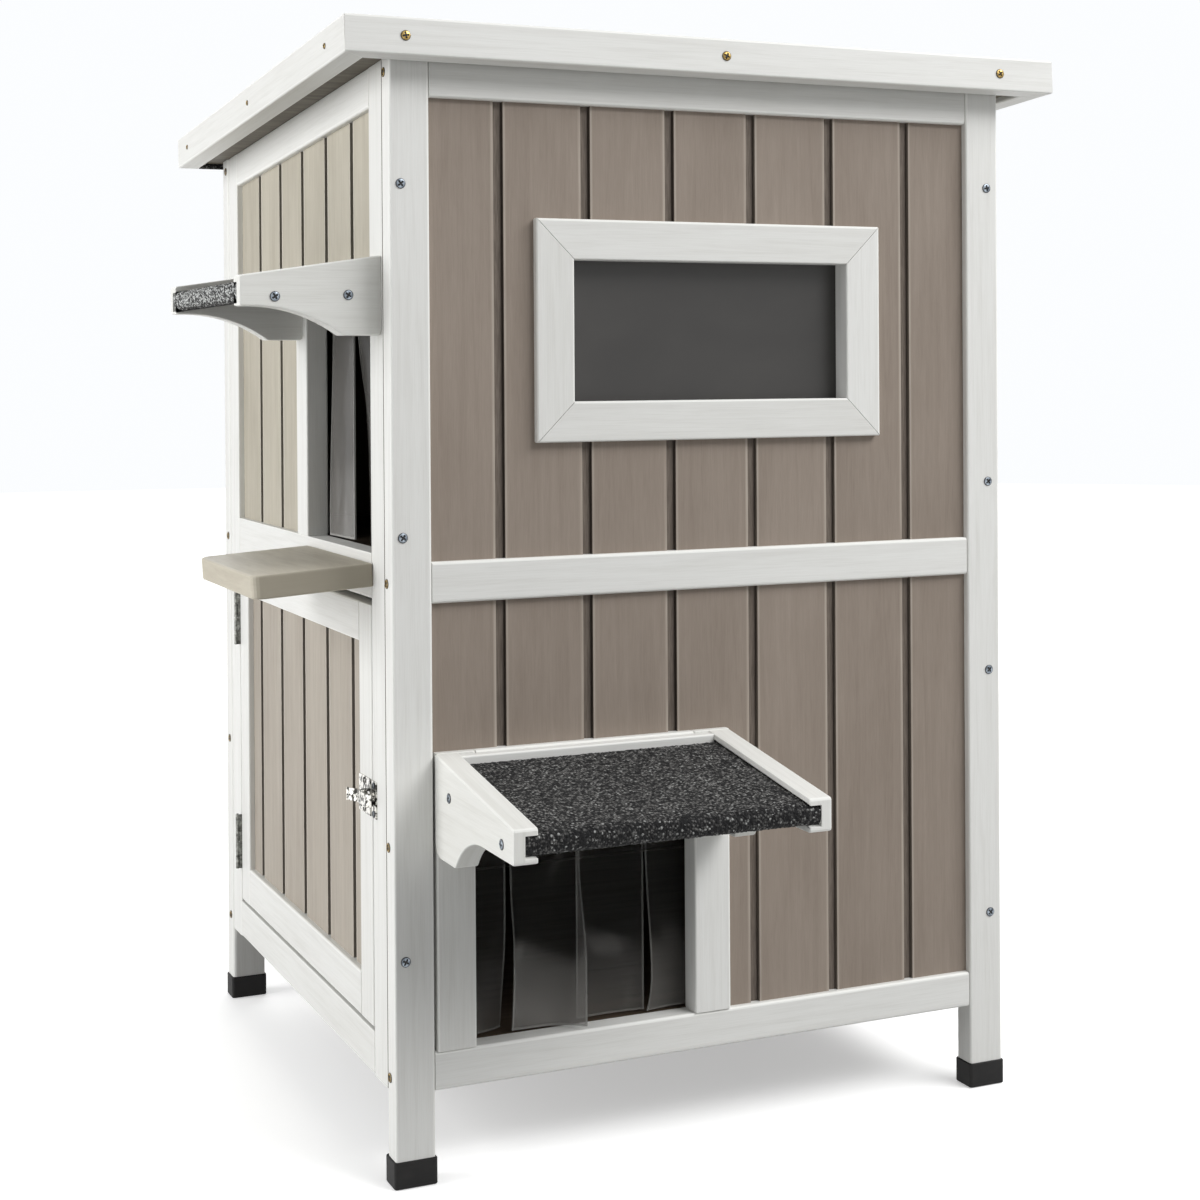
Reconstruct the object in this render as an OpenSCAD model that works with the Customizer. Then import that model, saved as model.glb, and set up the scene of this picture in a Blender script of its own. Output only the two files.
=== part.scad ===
// Outdoor cat house on two storeys, with a sloping hinged roof, a side door, two
// curtained doorways with felted awnings, a viewing window and a landing board.
// Millimetres. X runs along the front, Y towards the back and Z up.

/* [House] */
// Width across the front legs
house_w = 536; // [500:1:600]
// Depth from the front legs' faces to the back legs' faces
house_d = 522; // [490:1:580]
// Height of the roof's top edge at the front
roof_top_z = 862; // [840:1:900]

/* [Legs] */
// Width of a leg, seen from the front
leg_w = 31; // [28:0.5:36]
// Thickness of a leg, front to back
leg_t = 20; // [20:0.5:24]
// Height of a rubber foot cap
cap_h = 20; // [12:0.5:30]
// Wall of a foot cap
cap_wall = 1.4; // [1:0.1:3]
// Floor of a foot cap, under the leg
cap_floor = 3; // [2:0.5:6]

/* [Rails and stiles] */
// Thickness of the rails and stiles
rail_t = 18; // [15:0.5:19]
// How far the rails and stiles lie behind the legs' outer faces
rail_recess = 1; // [0.5:0.1:1.5]
// Height of the top rails
top_rail_h = 30; // [24:0.5:40]
// Underside of the middle rails above the ground
mid_rail_z = 431; // [410:1:450]
// Height of the front and back middle rails
mid_rail_h = 31; // [26:0.5:36]
// Height of the side middle rails
side_mid_rail_h = 35; // [31:0.5:40]
// Underside of the bottom rails above the ground
bottom_rail_z = 68; // [50:1:80]
// Height of the front and back bottom rails
bottom_rail_h = 29; // [24:0.5:36]
// Height of the side bottom rails
side_bottom_rail_h = 33; // [29:0.5:40]
// Width of the side walls' front stiles
front_stile_w = 34; // [28:0.5:40]
// Width of the side walls' back stiles
back_stile_w = 31; // [26:0.5:40]

/* [Boards] */
// Distance from one wall board to the next
board_pitch = 72; // [60:1:84]
// Thickness of a wall board
board_t = 10; // [8:0.5:12]
// How far the boards lie behind the legs' outer faces
board_recess = 6.5; // [5:0.5:7]
// Width of the groove between two boards
groove_w = 8; // [5:0.5:10]
// Depth of that groove
groove_deep = 3; // [2:0.5:5]
// Open joint between neighbouring boards
joint_gap = 0.4; // [0.2:0.1:1]
// Distance from the front legs' faces to the middle groove of the left wall
left_groove_y = 260; // [254:1:268]
// Distance from the front legs' faces to the middle groove of the door
door_groove_y = 265; // [255:1:275]

/* [Window] */
// Width of the window frame
window_w = 303; // [260:1:340]
// Height of the window frame
window_h = 171; // [140:1:190]
// Underside of the window frame above the ground
window_z = 549; // [520:1:580]
// Width of the frame's members
window_member = 31; // [24:0.5:36]
// How far the frame stands proud of the boards
window_proud = 7; // [5:0.5:10]
// Part of a member that lies on the boards, outside the cut
window_lap = 10; // [6:0.5:14]
// Depth of the frame behind the boards' faces
window_deep = 11.5; // [10:0.5:14]
// Thickness of the pane
pane_t = 2; // [1.5:0.5:4]
// Width of the pane's edge behind the frame
pane_lap = 8; // [5:0.5:12]
// Thickness of the beads behind the pane
bead_t = 8; // [6:0.5:12]

/* [Front doorway] */
// Distance from the left leg's outer face to the doorway's opening
doorway_x = 64.3; // [62:0.1:72]
// Width of the opening
doorway_w = 183.5; // [150:0.5:200]
// Width of the two jambs
jamb_w = 31; // [26:0.5:34]
// Height of the lintels
lintel_h = 29.5; // [24:0.5:36]

/* [Front awning] */
// Height of the brackets' tops at the wall
awning_z = 319.5; // [300:0.5:340]
// Reach of the brackets from the wall
awning_reach = 160; // [130:1:190]
// Fall of the brackets' top edges, from wall to nose
awning_fall = 24; // [15:0.5:32]
// Height of the brackets' noses
awning_nose = 24.5; // [22:0.5:32]
// Height of the brackets at the wall
awning_heel_h = 75.8; // [60:0.2:90]
// Length of the flat underneath the heel
awning_heel_l = 43; // [30:1:60]
// Radius of the cove under the brackets
awning_cove_r = 67.6; // [60:0.2:90]
// Radius of the brackets' lower corner at the wall
awning_heel_r = 10; // [5:1:14]

/* [Side doorway] */
// Width of the opening beside the front stile
side_doorway_w = 179; // [160:1:190]

/* [Side awning] */
// Height of the brackets' tops at the wall
side_awning_z = 691; // [670:0.5:710]
// Reach of the brackets from the wall
side_awning_reach = 107.6; // [90:0.2:130]
// Fall of the brackets' top edges, from wall to nose
side_awning_fall = 16; // [10:0.5:24]
// Height of the brackets' noses
side_awning_nose = 22.5; // [22:0.5:30]
// Height of the brackets at the wall
side_awning_heel_h = 60; // [50:0.5:80]
// Length of the flat underneath the heel
side_awning_heel_l = 30; // [20:1:40]
// Radius of the cove under the brackets
side_awning_cove_r = 115; // [90:1:140]
// Radius of the brackets' lower corner at the wall
side_awning_heel_r = 3; // [2:0.5:8]

/* [Both awnings] */
// Thickness of a bracket
bracket_t = 18; // [16:0.5:20]
// Thickness of a felted awning board
awning_board_t = 12; // [9:0.5:15]
// Thickness of the roofing felt round an awning board
felt_t = 1.5; // [1:0.1:2.5]
// Depth of the slots that hold an awning board
slot_deep = 9.5; // [6:0.5:12]
// Wood left over the slots
slot_cover = 5; // [4:0.5:7]
// Thickness of the battens along the wall
awning_batten_t = 10; // [8:0.5:14]

/* [Landing board] */
// Reach of the landing board from the wall
landing_l = 93; // [70:1:110]
// Width of the landing board
landing_w = 178; // [150:1:190]
// Thickness of the landing board
landing_t = 18; // [12:0.5:20]
// Height of its top face at the wall
landing_z = 458.8; // [455:0.2:462]
// Fall of the landing board, degrees
landing_slope = 3.7; // [0:0.1:6]
// Radius of its outer corners
landing_r = 10; // [5:1:20]

/* [Door] */
// Gap beside the latch
door_gap_latch = 2.5; // [2:0.1:4]
// Gap beside the hinges
door_gap_hinge = 2; // [2:0.1:3]
// Gap under the door
door_gap_below = 3; // [2:0.5:6]
// Gap over the door
door_gap_above = 5; // [3:0.5:8]
// Width of the door's stile beside the latch
door_latch_stile_w = 31.5; // [28:0.5:38]
// Width of the door's stile beside the hinges
door_hinge_stile_w = 29; // [25:0.5:36]
// Height of the door's top rail
door_top_rail_h = 31; // [26:0.5:40]
// Height of the door's bottom rail
door_bottom_rail_h = 34; // [26:0.5:40]

/* [Hinges] */
// Outer radius of the hinges' knuckles
knuckle_r = 2.5; // [2.2:0.1:3]
// Radius of the hinge pins
hinge_pin_r = 1.2; // [1:0.1:1.5]
// Running clearance round the hinge pins
pin_clearance = 0.05; // [0.02:0.01:0.08]
// Gap between neighbouring knuckles
knuckle_gap = 0.3; // [0.2:0.05:0.5]
// Thickness of a hinge leaf
leaf_t = 0.85; // [0.6:0.05:0.9]
// Length of a hinge
hinge_l = 51; // [40:1:70]
// Width of a door hinge's leaf inside the gap
leaf_w = 15; // [10:1:17]
// Distance from the door's ends to its hinges
hinge_inset = 29; // [15:1:60]
// Distance of the door hinges' axis from the wall's face
door_hinge_out = 4; // [3.4:0.1:5]
// Distance of the roof hinges' axis under the roof
roof_hinge_drop = 5; // [4.4:0.1:6]
// Distance from the side of the house to the roof hinges
roof_hinge_inset = 90; // [60:5:200]
// Gap between the roof hinges' knuckles and the back rail
roof_hinge_gap = 0.2; // [0.1:0.1:1]
// Height of a roof hinge's leaf on the back rail
roof_leaf_h = 20; // [12:1:24]

/* [Latch] */
// Height of the latch's middle above the ground
latch_z = 279; // [220:1:360]
// Height of the latch plates
latch_plate_h = 28; // [24:1:34]
// Width of the plate on the door
latch_plate_w = 28; // [24:0.5:29]
// Width of the keeper plate
keeper_w = 10; // [9:0.5:14]
// Thickness of the plates and the lever
latch_t = 1.2; // [0.8:0.1:1.6]
// Width of the lever
lever_w = 9.6; // [7:0.2:12]
// Radius of the lever's pin
latch_pin_r = 1.1; // [0.9:0.1:1.3]
// Distance of that pin from the door's face
latch_pin_out = 5.2; // [5:0.1:6]
// Distance of that pin from the door's edge
latch_pin_in = 3.6; // [3.2:0.1:4.5]
// Radius of the keeper's rolled lip
keeper_r = 2; // [1.6:0.1:2.2]
// Distance from the lever's pin to the keeper's lip
keeper_reach = 12; // [11:0.5:14]
// Clearance between the claw and the lip
claw_clearance = 0.4; // [0.3:0.1:0.6]
// Length of the lever's finger tab
tab_l = 20; // [16:0.5:24]
// Rise of the finger tab from the door
tab_rise = 5.2; // [3:0.1:8]

/* [Curtains] */
// Width of a curtain strip
strip_w = 57.5; // [54:0.5:57.5]
// Thickness of a strip
strip_t = 1.5; // [1:0.1:1.6]
// Distance between the layers where two strips overlap
strip_layer = 3.2; // [3:0.1:4]
// Gap between a strip and the wall that it hangs behind
strip_gap = 0.3; // [0.2:0.1:0.6]
// Bow of a strip at its foot
strip_bow = 2; // [0:0.1:3]
// Outward curl of the second front strip's edge
strip_curl_out = 19.5; // [0:0.5:20]
// Inward curl of the first front strip's edge
strip_curl_in = 11; // [0:1:14]
// Inward curl of the second side strip's edge
side_strip_curl = 18; // [0:1:20]
// Outward curl of the first side strip's edge
side_strip_lean = 4; // [0:0.5:5]
// Height of the strips' feet over the sills
strip_foot = 1.5; // [1.5:0.5:10]
// Distance from a lintel's underside down to the strips' bending line
strip_drop = 3; // [2.5:0.1:6]
// Thickness of the battens that clamp the strips
clamp_t = 12; // [8:0.5:16]

/* [Floors] */
// Thickness of the two floors
floor_t = 8; // [5:0.5:12]
// Side of the battens under the floors
floor_batten = 18; // [12:0.5:20]

/* [Roof] */
// Fall of the roof towards the back, degrees
roof_slope = 3.2; // [2:0.1:5]
// Overhang of the roof at the front
roof_front = 22.1; // [21:0.1:30]
// Overhang of the roof at each side
roof_side = 40.3; // [30:0.1:50]
// Overhang of the roof at the back
roof_back = 15.2; // [14:0.1:24]
// Height of the fascia boards
fascia_h = 28; // [26:0.5:40]
// Thickness of the fascia boards
fascia_t = 20; // [14:0.5:20]
// Thickness of the roof's felt
roof_felt_t = 3; // [2:0.5:4]
// Thickness of the roof's deck
deck_t = 10; // [8:0.5:14]
// Thickness of the battens under the deck
roof_batten_t = 10; // [8:0.5:12]
// Width of those battens
roof_batten_w = 40; // [40:1:60]
// Play between the walls' tops and the lifting roof
roof_play = 0.06; // [0.05:0.01:0.2]
// Open joint at mitred corners
mitre_gap = 0.2; // [0.1:0.05:0.3]

/* [Screws] */
// Radius of a screw's head
screw_head_r = 3.8; // [3:0.1:4.4]
// Height of a screw's head
screw_head_h = 1.2; // [0.8:0.1:2]
// Radius of a screw's shank
screw_r = 1.6; // [1.2:0.1:2]
// Length of a screw's shank
screw_l = 15; // [10:1:17]
// Length of an awning screw's shank
awning_screw_l = 7; // [5:0.5:7.5]
// Radius of a latch screw's head
latch_screw_r = 2.7; // [2.2:0.1:3]
// Height of a left leg's lower face screw above the bottom rail's underside
left_screw_low = 99.5; // [90:0.5:110]
// Height of a left leg's middle face screw above the middle rail
left_screw_mid = 19; // [14:0.5:30]
// Distance of a left leg's upper face screw from the wall's top
left_screw_top = 95; // [80:0.5:120]
// Distance of a left leg's face screws from the leg's outer side
left_screw_in = 8.5; // [7:0.5:12]
// Height of a right leg's lowest face screw above the bottom rail's underside
right_screw_low = 77.6; // [60:0.1:90]
// Height of a right leg's second face screw above the bottom rail's underside
right_screw_second = 282; // [270:0.5:300]
// Height of a right leg's third face screw above the middle rail
right_screw_mid = 46.5; // [36:0.5:60]
// Distance of a right leg's upper face screw from the wall's top
right_screw_top = 82.7; // [70:0.1:100]
// Distance of a right leg's face screws from the leg's outer side
right_screw_in = 11; // [7:0.5:13]
// Height of a leg's lowest side screw above the bottom rail's underside
side_screw_low = 11.3; // [9:0.1:14]
// Height of a leg's second side screw above the bottom rail's underside
side_screw_second = 182.4; // [170:0.1:200]
// Height of a leg's third side screw above the middle rail's underside
side_screw_mid = 15.3; // [10:0.1:20]
// Distance of a leg's upper side screw from the wall's top
side_screw_drop = 11; // [8:0.5:14]
// Distance of a leg's side screws from the house's front or back
side_screw_y = 12.5; // [11:0.1:13]
// Distance of the latch plate's screws from the door's edge
latch_screw_x = 15; // [12:0.5:22]
// Height of the roof's screws, measured down from its top face
roof_screw_drop = 14; // [10:0.5:20]
// Distance of the side fascias' front screws from the roof's front edge
roof_screw_front = 51; // [40:1:80]
// Distance of the side fascias' back screws from the roof's back edge
roof_screw_back = 41; // [30:1:80]
// Distance of the front fascia's left screw from its end
roof_screw_left = 46; // [36:1:80]
// Distance of the front fascia's right screw from its end
roof_screw_right = 53; // [36:1:80]
// Clearance between a shank and its hole
screw_clearance = 0.05; // [0.02:0.01:0.1]

/* [Hidden] */
$fn = 48;

// Colours of the finishes
white_paint = [0.91, 0.91, 0.90];
taupe_paint = [0.55, 0.50, 0.47];
khaki_paint = [0.71, 0.68, 0.61];
raw_wood = [0.66, 0.56, 0.43];
dark_felt = [0.22, 0.22, 0.23];
black_rubber = [0.08, 0.08, 0.08];
zinc = [0.68, 0.70, 0.74];
brass = [0.76, 0.64, 0.35];
nickel = [0.78, 0.77, 0.73];
clear_plastic = [0.55, 0.57, 0.58, 0.45];
smoked_pane = [0.27, 0.26, 0.26, 0.9];

// The whole's centre on the ground, measured from the front left leg's outer corner
west_x = rail_recess - max(side_awning_reach, landing_l, roof_side + rail_recess);
origin_x = (west_x + house_w + roof_side + screw_head_h) / 2;
origin_y = (house_d + roof_back - max(awning_reach, roof_front)) / 2;

// Lines that several pieces share
rail_in = rail_recess + rail_t;
roof_build = roof_felt_t + deck_t + roof_batten_t;
roof_len = (house_d + roof_front + roof_back) / cos(roof_slope);
mid_top = mid_rail_z + mid_rail_h;
side_mid_top = mid_rail_z + side_mid_rail_h;
bottom_top = bottom_rail_z + bottom_rail_h;
side_bottom_top = bottom_rail_z + side_bottom_rail_h;
front_wall_top = under_z(0) - top_rail_h;
stile_y0 = leg_t + front_stile_w;
stile_y1 = house_d - leg_t - back_stile_w;
jamb_left = doorway_x - jamb_w;
jamb_right = doorway_x + doorway_w + jamb_w;
lintel_z = awning_z - lintel_h;
side_jamb_y = stile_y0 + side_doorway_w;
side_lintel_z = side_awning_z - lintel_h;
window_x = (house_w - window_w) / 2;
door_y0 = stile_y0 + door_gap_latch;
door_y1 = stile_y1 - door_gap_hinge;
door_z0 = side_bottom_top + door_gap_below;
door_z1 = mid_rail_z - door_gap_above;
slot_h = awning_board_t + 2 * felt_t + 0.5;

// Height of the roof's underside over a place between front and back
function under_z(y) = roof_top_z - roof_build / cos(roof_slope) - (y + roof_front) * tan(roof_slope);

// Height of the walls' tops, just under it
function wall_top(y) = under_z(y) - roof_play;

// Moves a piece from the leg's corner to the whole's own frame
module in_place() {
  translate([-origin_x, -origin_y, 0]) children();
}

// The left wall's frame turned to the front wall's, where X runs along the wall and Y inwards
module on_left() {
  mirror([1, -1, 0]) children();
}

// The right wall is the left wall's mirror image
module on_right() {
  translate([house_w, 0, 0]) mirror([1, 0, 0]) children();
}

// The back wall is the front wall's mirror image
module on_back() {
  translate([0, house_d, 0]) mirror([0, 1, 0]) children();
}

// The roof's own frame: Y runs down the slope from the front edge, Z stands on its top face
module on_roof() {
  translate([0, -roof_front, roof_top_z]) rotate([-roof_slope, 0, 0]) children();
}

// Straight bar between two opposite corners
module bar(low, high) {
  translate(low) cube(high - low);
}

// Outline in Y and Z, carried along X
module along_x(x0, x1) {
  translate([x0, 0, 0]) rotate([90, 0, 90]) linear_extrude(x1 - x0) children();
}

// Outline in X and Z, carried along Y
module along_y(y0, y1) {
  translate([0, y1, 0]) rotate([90, 0, 0]) linear_extrude(y1 - y0) children();
}

// Upright that ends under the roof
module upright(x0, x1, y0, y1, z0) {
  along_x(x0, x1) polygon([[y0, z0], [y1, z0], [y1, wall_top(y1)], [y0, wall_top(y0)]]);
}

// Screw with a low domed head and a cross recess, its head outwards along +Z
module screw(head_r, shank_l) {
  recess_w = head_r / 3.6;
  difference() {
    rotate_extrude() polygon([[0, screw_head_h], [head_r * 0.55, screw_head_h],
      [head_r, screw_head_h * 0.35], [head_r, 0], [screw_r, 0], [screw_r, screw_r - shank_l],
      [0, -shank_l]]);
    for (turn = [0, 90])
      rotate([0, 0, turn])
        translate([-head_r * 0.55, -recess_w / 2, screw_head_h * 0.4])
          cube([head_r * 1.1, recess_w, screw_head_h]);
  }
}

// Pilot hole for that screw
module screw_hole(shank_l) {
  r = screw_r + screw_clearance;
  translate([0, 0, -shank_l - 0.3]) cylinder(r = r, h = shank_l + 1.3);
}

// Turns that point a screw's head outwards
module to_front() {
  rotate([90, 0, 0]) children();
}
module to_left() {
  rotate([0, -90, 0]) children();
}
module to_right() {
  rotate([0, 90, 0]) children();
}

// Run of grooved boards from x0 to x1 and z0 to z1, with a groove centred at groove_x
module board_run(x0, x1, groove_x, z0, z1) {
  first = floor((x0 - groove_x) / board_pitch);
  last = ceil((x1 - groove_x) / board_pitch) - 1;
  for (k = [first:last]) {
    left = groove_x + k * board_pitch + groove_w / 2;
    low = max(left, x0);
    face = min(left + board_pitch - groove_w, x1);
    high = min(left + board_pitch - joint_gap, x1);
    shoulder = high > face ? [[face, groove_deep], [high, groove_deep]] : [];
    if (face > low)
      translate([0, board_recess, z0])
        linear_extrude(z1 - z0)
          polygon(concat([[low, 0], [face, 0]], shoulder, [[high, board_t], [low, board_t]]));
  }
}

// Four mitred members round a rectangle centred on the origin, in X and Z, from inset a to inset b
module mitred_ring(w, h, a, b, y0, y1) {
  g = mitre_gap;
  for (flip = [0, 1])
    mirror([0, 0, flip])
      along_y(y0, y1)
        polygon([[a + g - w / 2, a - h / 2], [w / 2 - a - g, a - h / 2],
                 [w / 2 - b - g, b - h / 2], [b + g - w / 2, b - h / 2]]);
  for (flip = [0, 1])
    mirror([flip, 0, 0])
      along_y(y0, y1)
        polygon([[a - w / 2, a - h / 2], [b - w / 2, b - h / 2],
                 [b - w / 2, h / 2 - b], [a - w / 2, h / 2 - a]]);
}

// Places of the screws in a front leg: seen from the front, then from the side
front_screw_z = [[bottom_rail_z + left_screw_low, mid_top + left_screw_mid,
                  under_z(0) - left_screw_top],
                 [bottom_rail_z + right_screw_low, bottom_rail_z + right_screw_second,
                  mid_top + right_screw_mid, under_z(0) - right_screw_top]];
front_screw_in = [left_screw_in, right_screw_in];
side_screw_z = [bottom_rail_z + side_screw_low, bottom_rail_z + side_screw_second,
                mid_rail_z + side_screw_mid];

// Screws in the face of a leg on one side: 0 for left, 1 for right
module leg_face_screws(side) {
  x = side == 0 ? front_screw_in[0] : house_w - front_screw_in[1];
  for (z = front_screw_z[side]) translate([x, 0, z]) to_front() children();
}

// Screws in a leg's outer side
module leg_side_screws(side, y) {
  for (z = concat(side_screw_z, [under_z(y) - side_screw_drop]))
    translate([side == 0 ? 0 : house_w, y, z])
      rotate([0, 0, side * 180]) to_left() children();
}

// One leg, standing in its cap
module leg(side, y0) {
  x0 = side == 0 ? 0 : house_w - leg_w;
  upright(x0, x0 + leg_w, y0, y0 + leg_t, cap_floor);
}

module front_left_leg() {
  color(white_paint) in_place() difference() {
    leg(0, 0);
    leg_face_screws(0) screw_hole(screw_l);
    leg_side_screws(0, side_screw_y) screw_hole(screw_l);
  }
}

module front_right_leg() {
  color(white_paint) in_place() difference() {
    leg(1, 0);
    leg_face_screws(1) screw_hole(screw_l);
    leg_side_screws(1, side_screw_y) screw_hole(screw_l);
  }
}

module back_left_leg() {
  color(white_paint) in_place() difference() {
    leg(0, house_d - leg_t);
    on_back() leg_face_screws(0) screw_hole(screw_l);
    leg_side_screws(0, house_d - side_screw_y) screw_hole(screw_l);
  }
}

module back_right_leg() {
  color(white_paint) in_place() difference() {
    leg(1, house_d - leg_t);
    on_back() leg_face_screws(1) screw_hole(screw_l);
    leg_side_screws(1, house_d - side_screw_y) screw_hole(screw_l);
  }
}

module brass_screws() {
  color(brass) in_place()
    for (side = [0, 1], y = [side_screw_y, house_d - side_screw_y])
      leg_side_screws(side, y) screw(screw_head_r, screw_l);
}

// Zinc screws in the legs' faces, the awning brackets and the latch's keeper
module zinc_screws() {
  color(zinc) in_place() {
    for (side = [0, 1]) {
      leg_face_screws(side) screw(screw_head_r, screw_l);
      on_back() leg_face_screws(side) screw(screw_head_r, screw_l);
    }
    front_bracket_spots() screw(screw_head_r, awning_screw_l);
    side_bracket_spots() screw(screw_head_r, awning_screw_l);
    on_left() keeper_screw_spots() screw(latch_screw_r, screw_l);
  }
}

module foot_caps() {
  color(black_rubber) in_place()
    for (x = [0, house_w - leg_w], y = [0, house_d - leg_t])
      translate([x, y, 0]) difference() {
        bar([-cap_wall, -cap_wall, 0], [leg_w + cap_wall, leg_t + cap_wall, cap_h]);
        bar([0, 0, cap_floor], [leg_w, leg_t, cap_h + 1]);
      }
}

// Rails of the front wall; the back wall's lie the same way
module end_rails(front) {
  x1 = house_w - leg_w;
  y0 = front ? rail_recess : house_d - rail_in;
  y1 = y0 + rail_t;
  bar([leg_w, y0, bottom_rail_z], [x1, y1, bottom_top]);
  bar([leg_w, y0, mid_rail_z], [x1, y1, mid_top]);
  upright(leg_w, x1, y0, y1, front ? front_wall_top : back_wall_top);
}

back_wall_top = under_z(house_d) - top_rail_h;

module front_rails() {
  color(white_paint) in_place() end_rails(true);
}

module back_rails() {
  color(white_paint) in_place() end_rails(false);
}

module front_upper_boards() {
  cut = window_lap - 0.3;
  color(taupe_paint) in_place() difference() {
    board_run(leg_w, house_w - leg_w, house_w / 2 - board_pitch / 2, mid_top, front_wall_top);
    bar([window_x + cut, 0, window_z + cut],
        [window_x + window_w - cut, leg_t, window_z + window_h - cut]);
  }
}

module front_lower_boards() {
  color(taupe_paint) in_place() difference() {
    board_run(leg_w, house_w - leg_w, house_w / 2 - board_pitch / 2, bottom_top, mid_rail_z);
    bar([0, 0, bottom_rail_z], [jamb_right, leg_t, awning_z]);
  }
}

module back_boards() {
  groove_x = house_w / 2 - board_pitch / 2;
  color(taupe_paint) in_place() on_back() {
    board_run(leg_w, house_w - leg_w, groove_x, bottom_top, mid_rail_z);
    board_run(leg_w, house_w - leg_w, groove_x, mid_top, back_wall_top);
  }
}

module front_doorway_jambs() {
  color(white_paint) in_place() {
    bar([jamb_left, 0, bottom_top], [doorway_x, leg_t, awning_z]);
    bar([doorway_x + doorway_w, 0, bottom_top], [jamb_right, leg_t, awning_z]);
  }
}

module front_doorway_lintel() {
  color(white_paint) in_place()
    bar([doorway_x, 0, lintel_z], [doorway_x + doorway_w, leg_t, awning_z]);
}

// The window's centre on the boards' face
module at_window() {
  translate([house_w / 2, board_recess, window_z + window_h / 2]) children();
}

module window_frame() {
  color(white_paint) in_place() at_window() {
    mitred_ring(window_w, window_h, 0, window_member, -window_proud, 0);
    mitred_ring(window_w, window_h, window_lap, window_member, -1, window_deep);
  }
}

module window_pane() {
  half_w = window_w / 2 - window_member + pane_lap;
  half_h = window_h / 2 - window_member + pane_lap;
  color(smoked_pane) in_place() at_window()
    bar([-half_w, window_deep, -half_h], [half_w, window_deep + pane_t, half_h]);
}

module window_beads() {
  y0 = window_deep + pane_t;
  color(white_paint) in_place() at_window()
    mitred_ring(window_w, window_h, window_lap, window_member, y0, y0 + bead_t);
}

// Stiles of a side wall, from the bottom rail up to the roof
module side_stiles() {
  upright(rail_recess, rail_in, leg_t, stile_y0, bottom_rail_z);
  upright(rail_recess, rail_in, stile_y1, house_d - leg_t, bottom_rail_z);
}

// Rails of a side wall, between its stiles
module side_rails() {
  h = top_rail_h / cos(roof_slope);
  bar([rail_recess, stile_y0, bottom_rail_z], [rail_in, stile_y1, side_bottom_top]);
  bar([rail_recess, stile_y0, mid_rail_z], [rail_in, stile_y1, side_mid_top]);
  along_x(rail_recess, rail_in)
    polygon([[stile_y0, under_z(stile_y0) - h], [stile_y1, under_z(stile_y1) - h],
             [stile_y1, wall_top(stile_y1)], [stile_y0, wall_top(stile_y0)]]);
}

// Boards of a side wall's upper storey, under the sloping rail
module side_upper_boards() {
  h = top_rail_h / cos(roof_slope);
  intersection() {
    on_left() board_run(stile_y0, stile_y1, left_groove_y, side_mid_top, roof_top_z);
    along_x(0, leg_w)
      polygon([[0, 0], [house_d, 0], [house_d, under_z(house_d) - h], [0, under_z(0) - h]]);
  }
}

module right_stiles() {
  color(white_paint) in_place() on_right() side_stiles();
}

module right_rails() {
  color(white_paint) in_place() on_right() side_rails();
}

module right_boards() {
  color(taupe_paint) in_place() on_right() {
    side_upper_boards();
    on_left() board_run(stile_y0, stile_y1, left_groove_y, side_bottom_top, mid_rail_z);
  }
}

module left_stiles() {
  color(white_paint) in_place() difference() {
    side_stiles();
    on_left() keeper_screw_spots() screw_hole(screw_l);
  }
}

module left_rails() {
  color(white_paint) in_place() side_rails();
}

module left_boards() {
  color(taupe_paint) in_place() difference() {
    side_upper_boards();
    bar([0, 0, mid_rail_z], [leg_w, side_jamb_y + jamb_w, side_awning_z]);
  }
}

module side_doorway_jamb() {
  color(white_paint) in_place()
    bar([rail_recess, side_jamb_y, side_mid_top], [leg_t, side_jamb_y + jamb_w, side_awning_z]);
}

module side_doorway_lintel() {
  color(white_paint) in_place()
    bar([rail_recess, stile_y0, side_lintel_z], [leg_t, side_jamb_y, side_awning_z]);
}

module door_stiles() {
  color(white_paint) in_place() difference() {
    union() {
      bar([rail_recess, door_y0, door_z0], [rail_in, door_y0 + door_latch_stile_w, door_z1]);
      bar([rail_recess, door_y1 - door_hinge_stile_w, door_z0], [rail_in, door_y1, door_z1]);
    }
    on_left() latch_screw_spots() screw_hole(screw_l);
  }
}

module door_rails() {
  y0 = door_y0 + door_latch_stile_w;
  y1 = door_y1 - door_hinge_stile_w;
  color(white_paint) in_place() {
    bar([rail_recess, y0, door_z0], [rail_in, y1, door_z0 + door_bottom_rail_h]);
    bar([rail_recess, y0, door_z1 - door_top_rail_h], [rail_in, y1, door_z1]);
  }
}

module door_boards() {
  color(taupe_paint) in_place() on_left()
    board_run(door_y0 + door_latch_stile_w, door_y1 - door_hinge_stile_w, door_groove_y,
              door_z0 + door_bottom_rail_h, door_z1 - door_top_rail_h);
}

// Every other knuckle of a hinge along Z, from the first one given
knuckles = 4;
knuckle_l = (hinge_l - (knuckles - 1) * knuckle_gap) / knuckles;
module hinge_knuckles(first) {
  for (k = [first:2:knuckles - 1])
    translate([0, 0, k * (knuckle_l + knuckle_gap)]) difference() {
      union() {
        cylinder(r = knuckle_r, h = knuckle_l);
        children();
      }
      translate([0, 0, -1]) cylinder(r = hinge_pin_r + pin_clearance, h = knuckle_l + 2);
    }
}

// Pin of that hinge, with a thin head at its upper end
module hinge_pin() {
  cylinder(r = hinge_pin_r, h = hinge_l + 0.2);
  translate([0, 0, hinge_l + 0.2]) cylinder(r = hinge_pin_r + 0.7, h = 0.8);
}

door_hinge_x = rail_recess - door_hinge_out;
door_hinge_y = stile_y1 - door_gap_hinge / 2;

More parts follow.
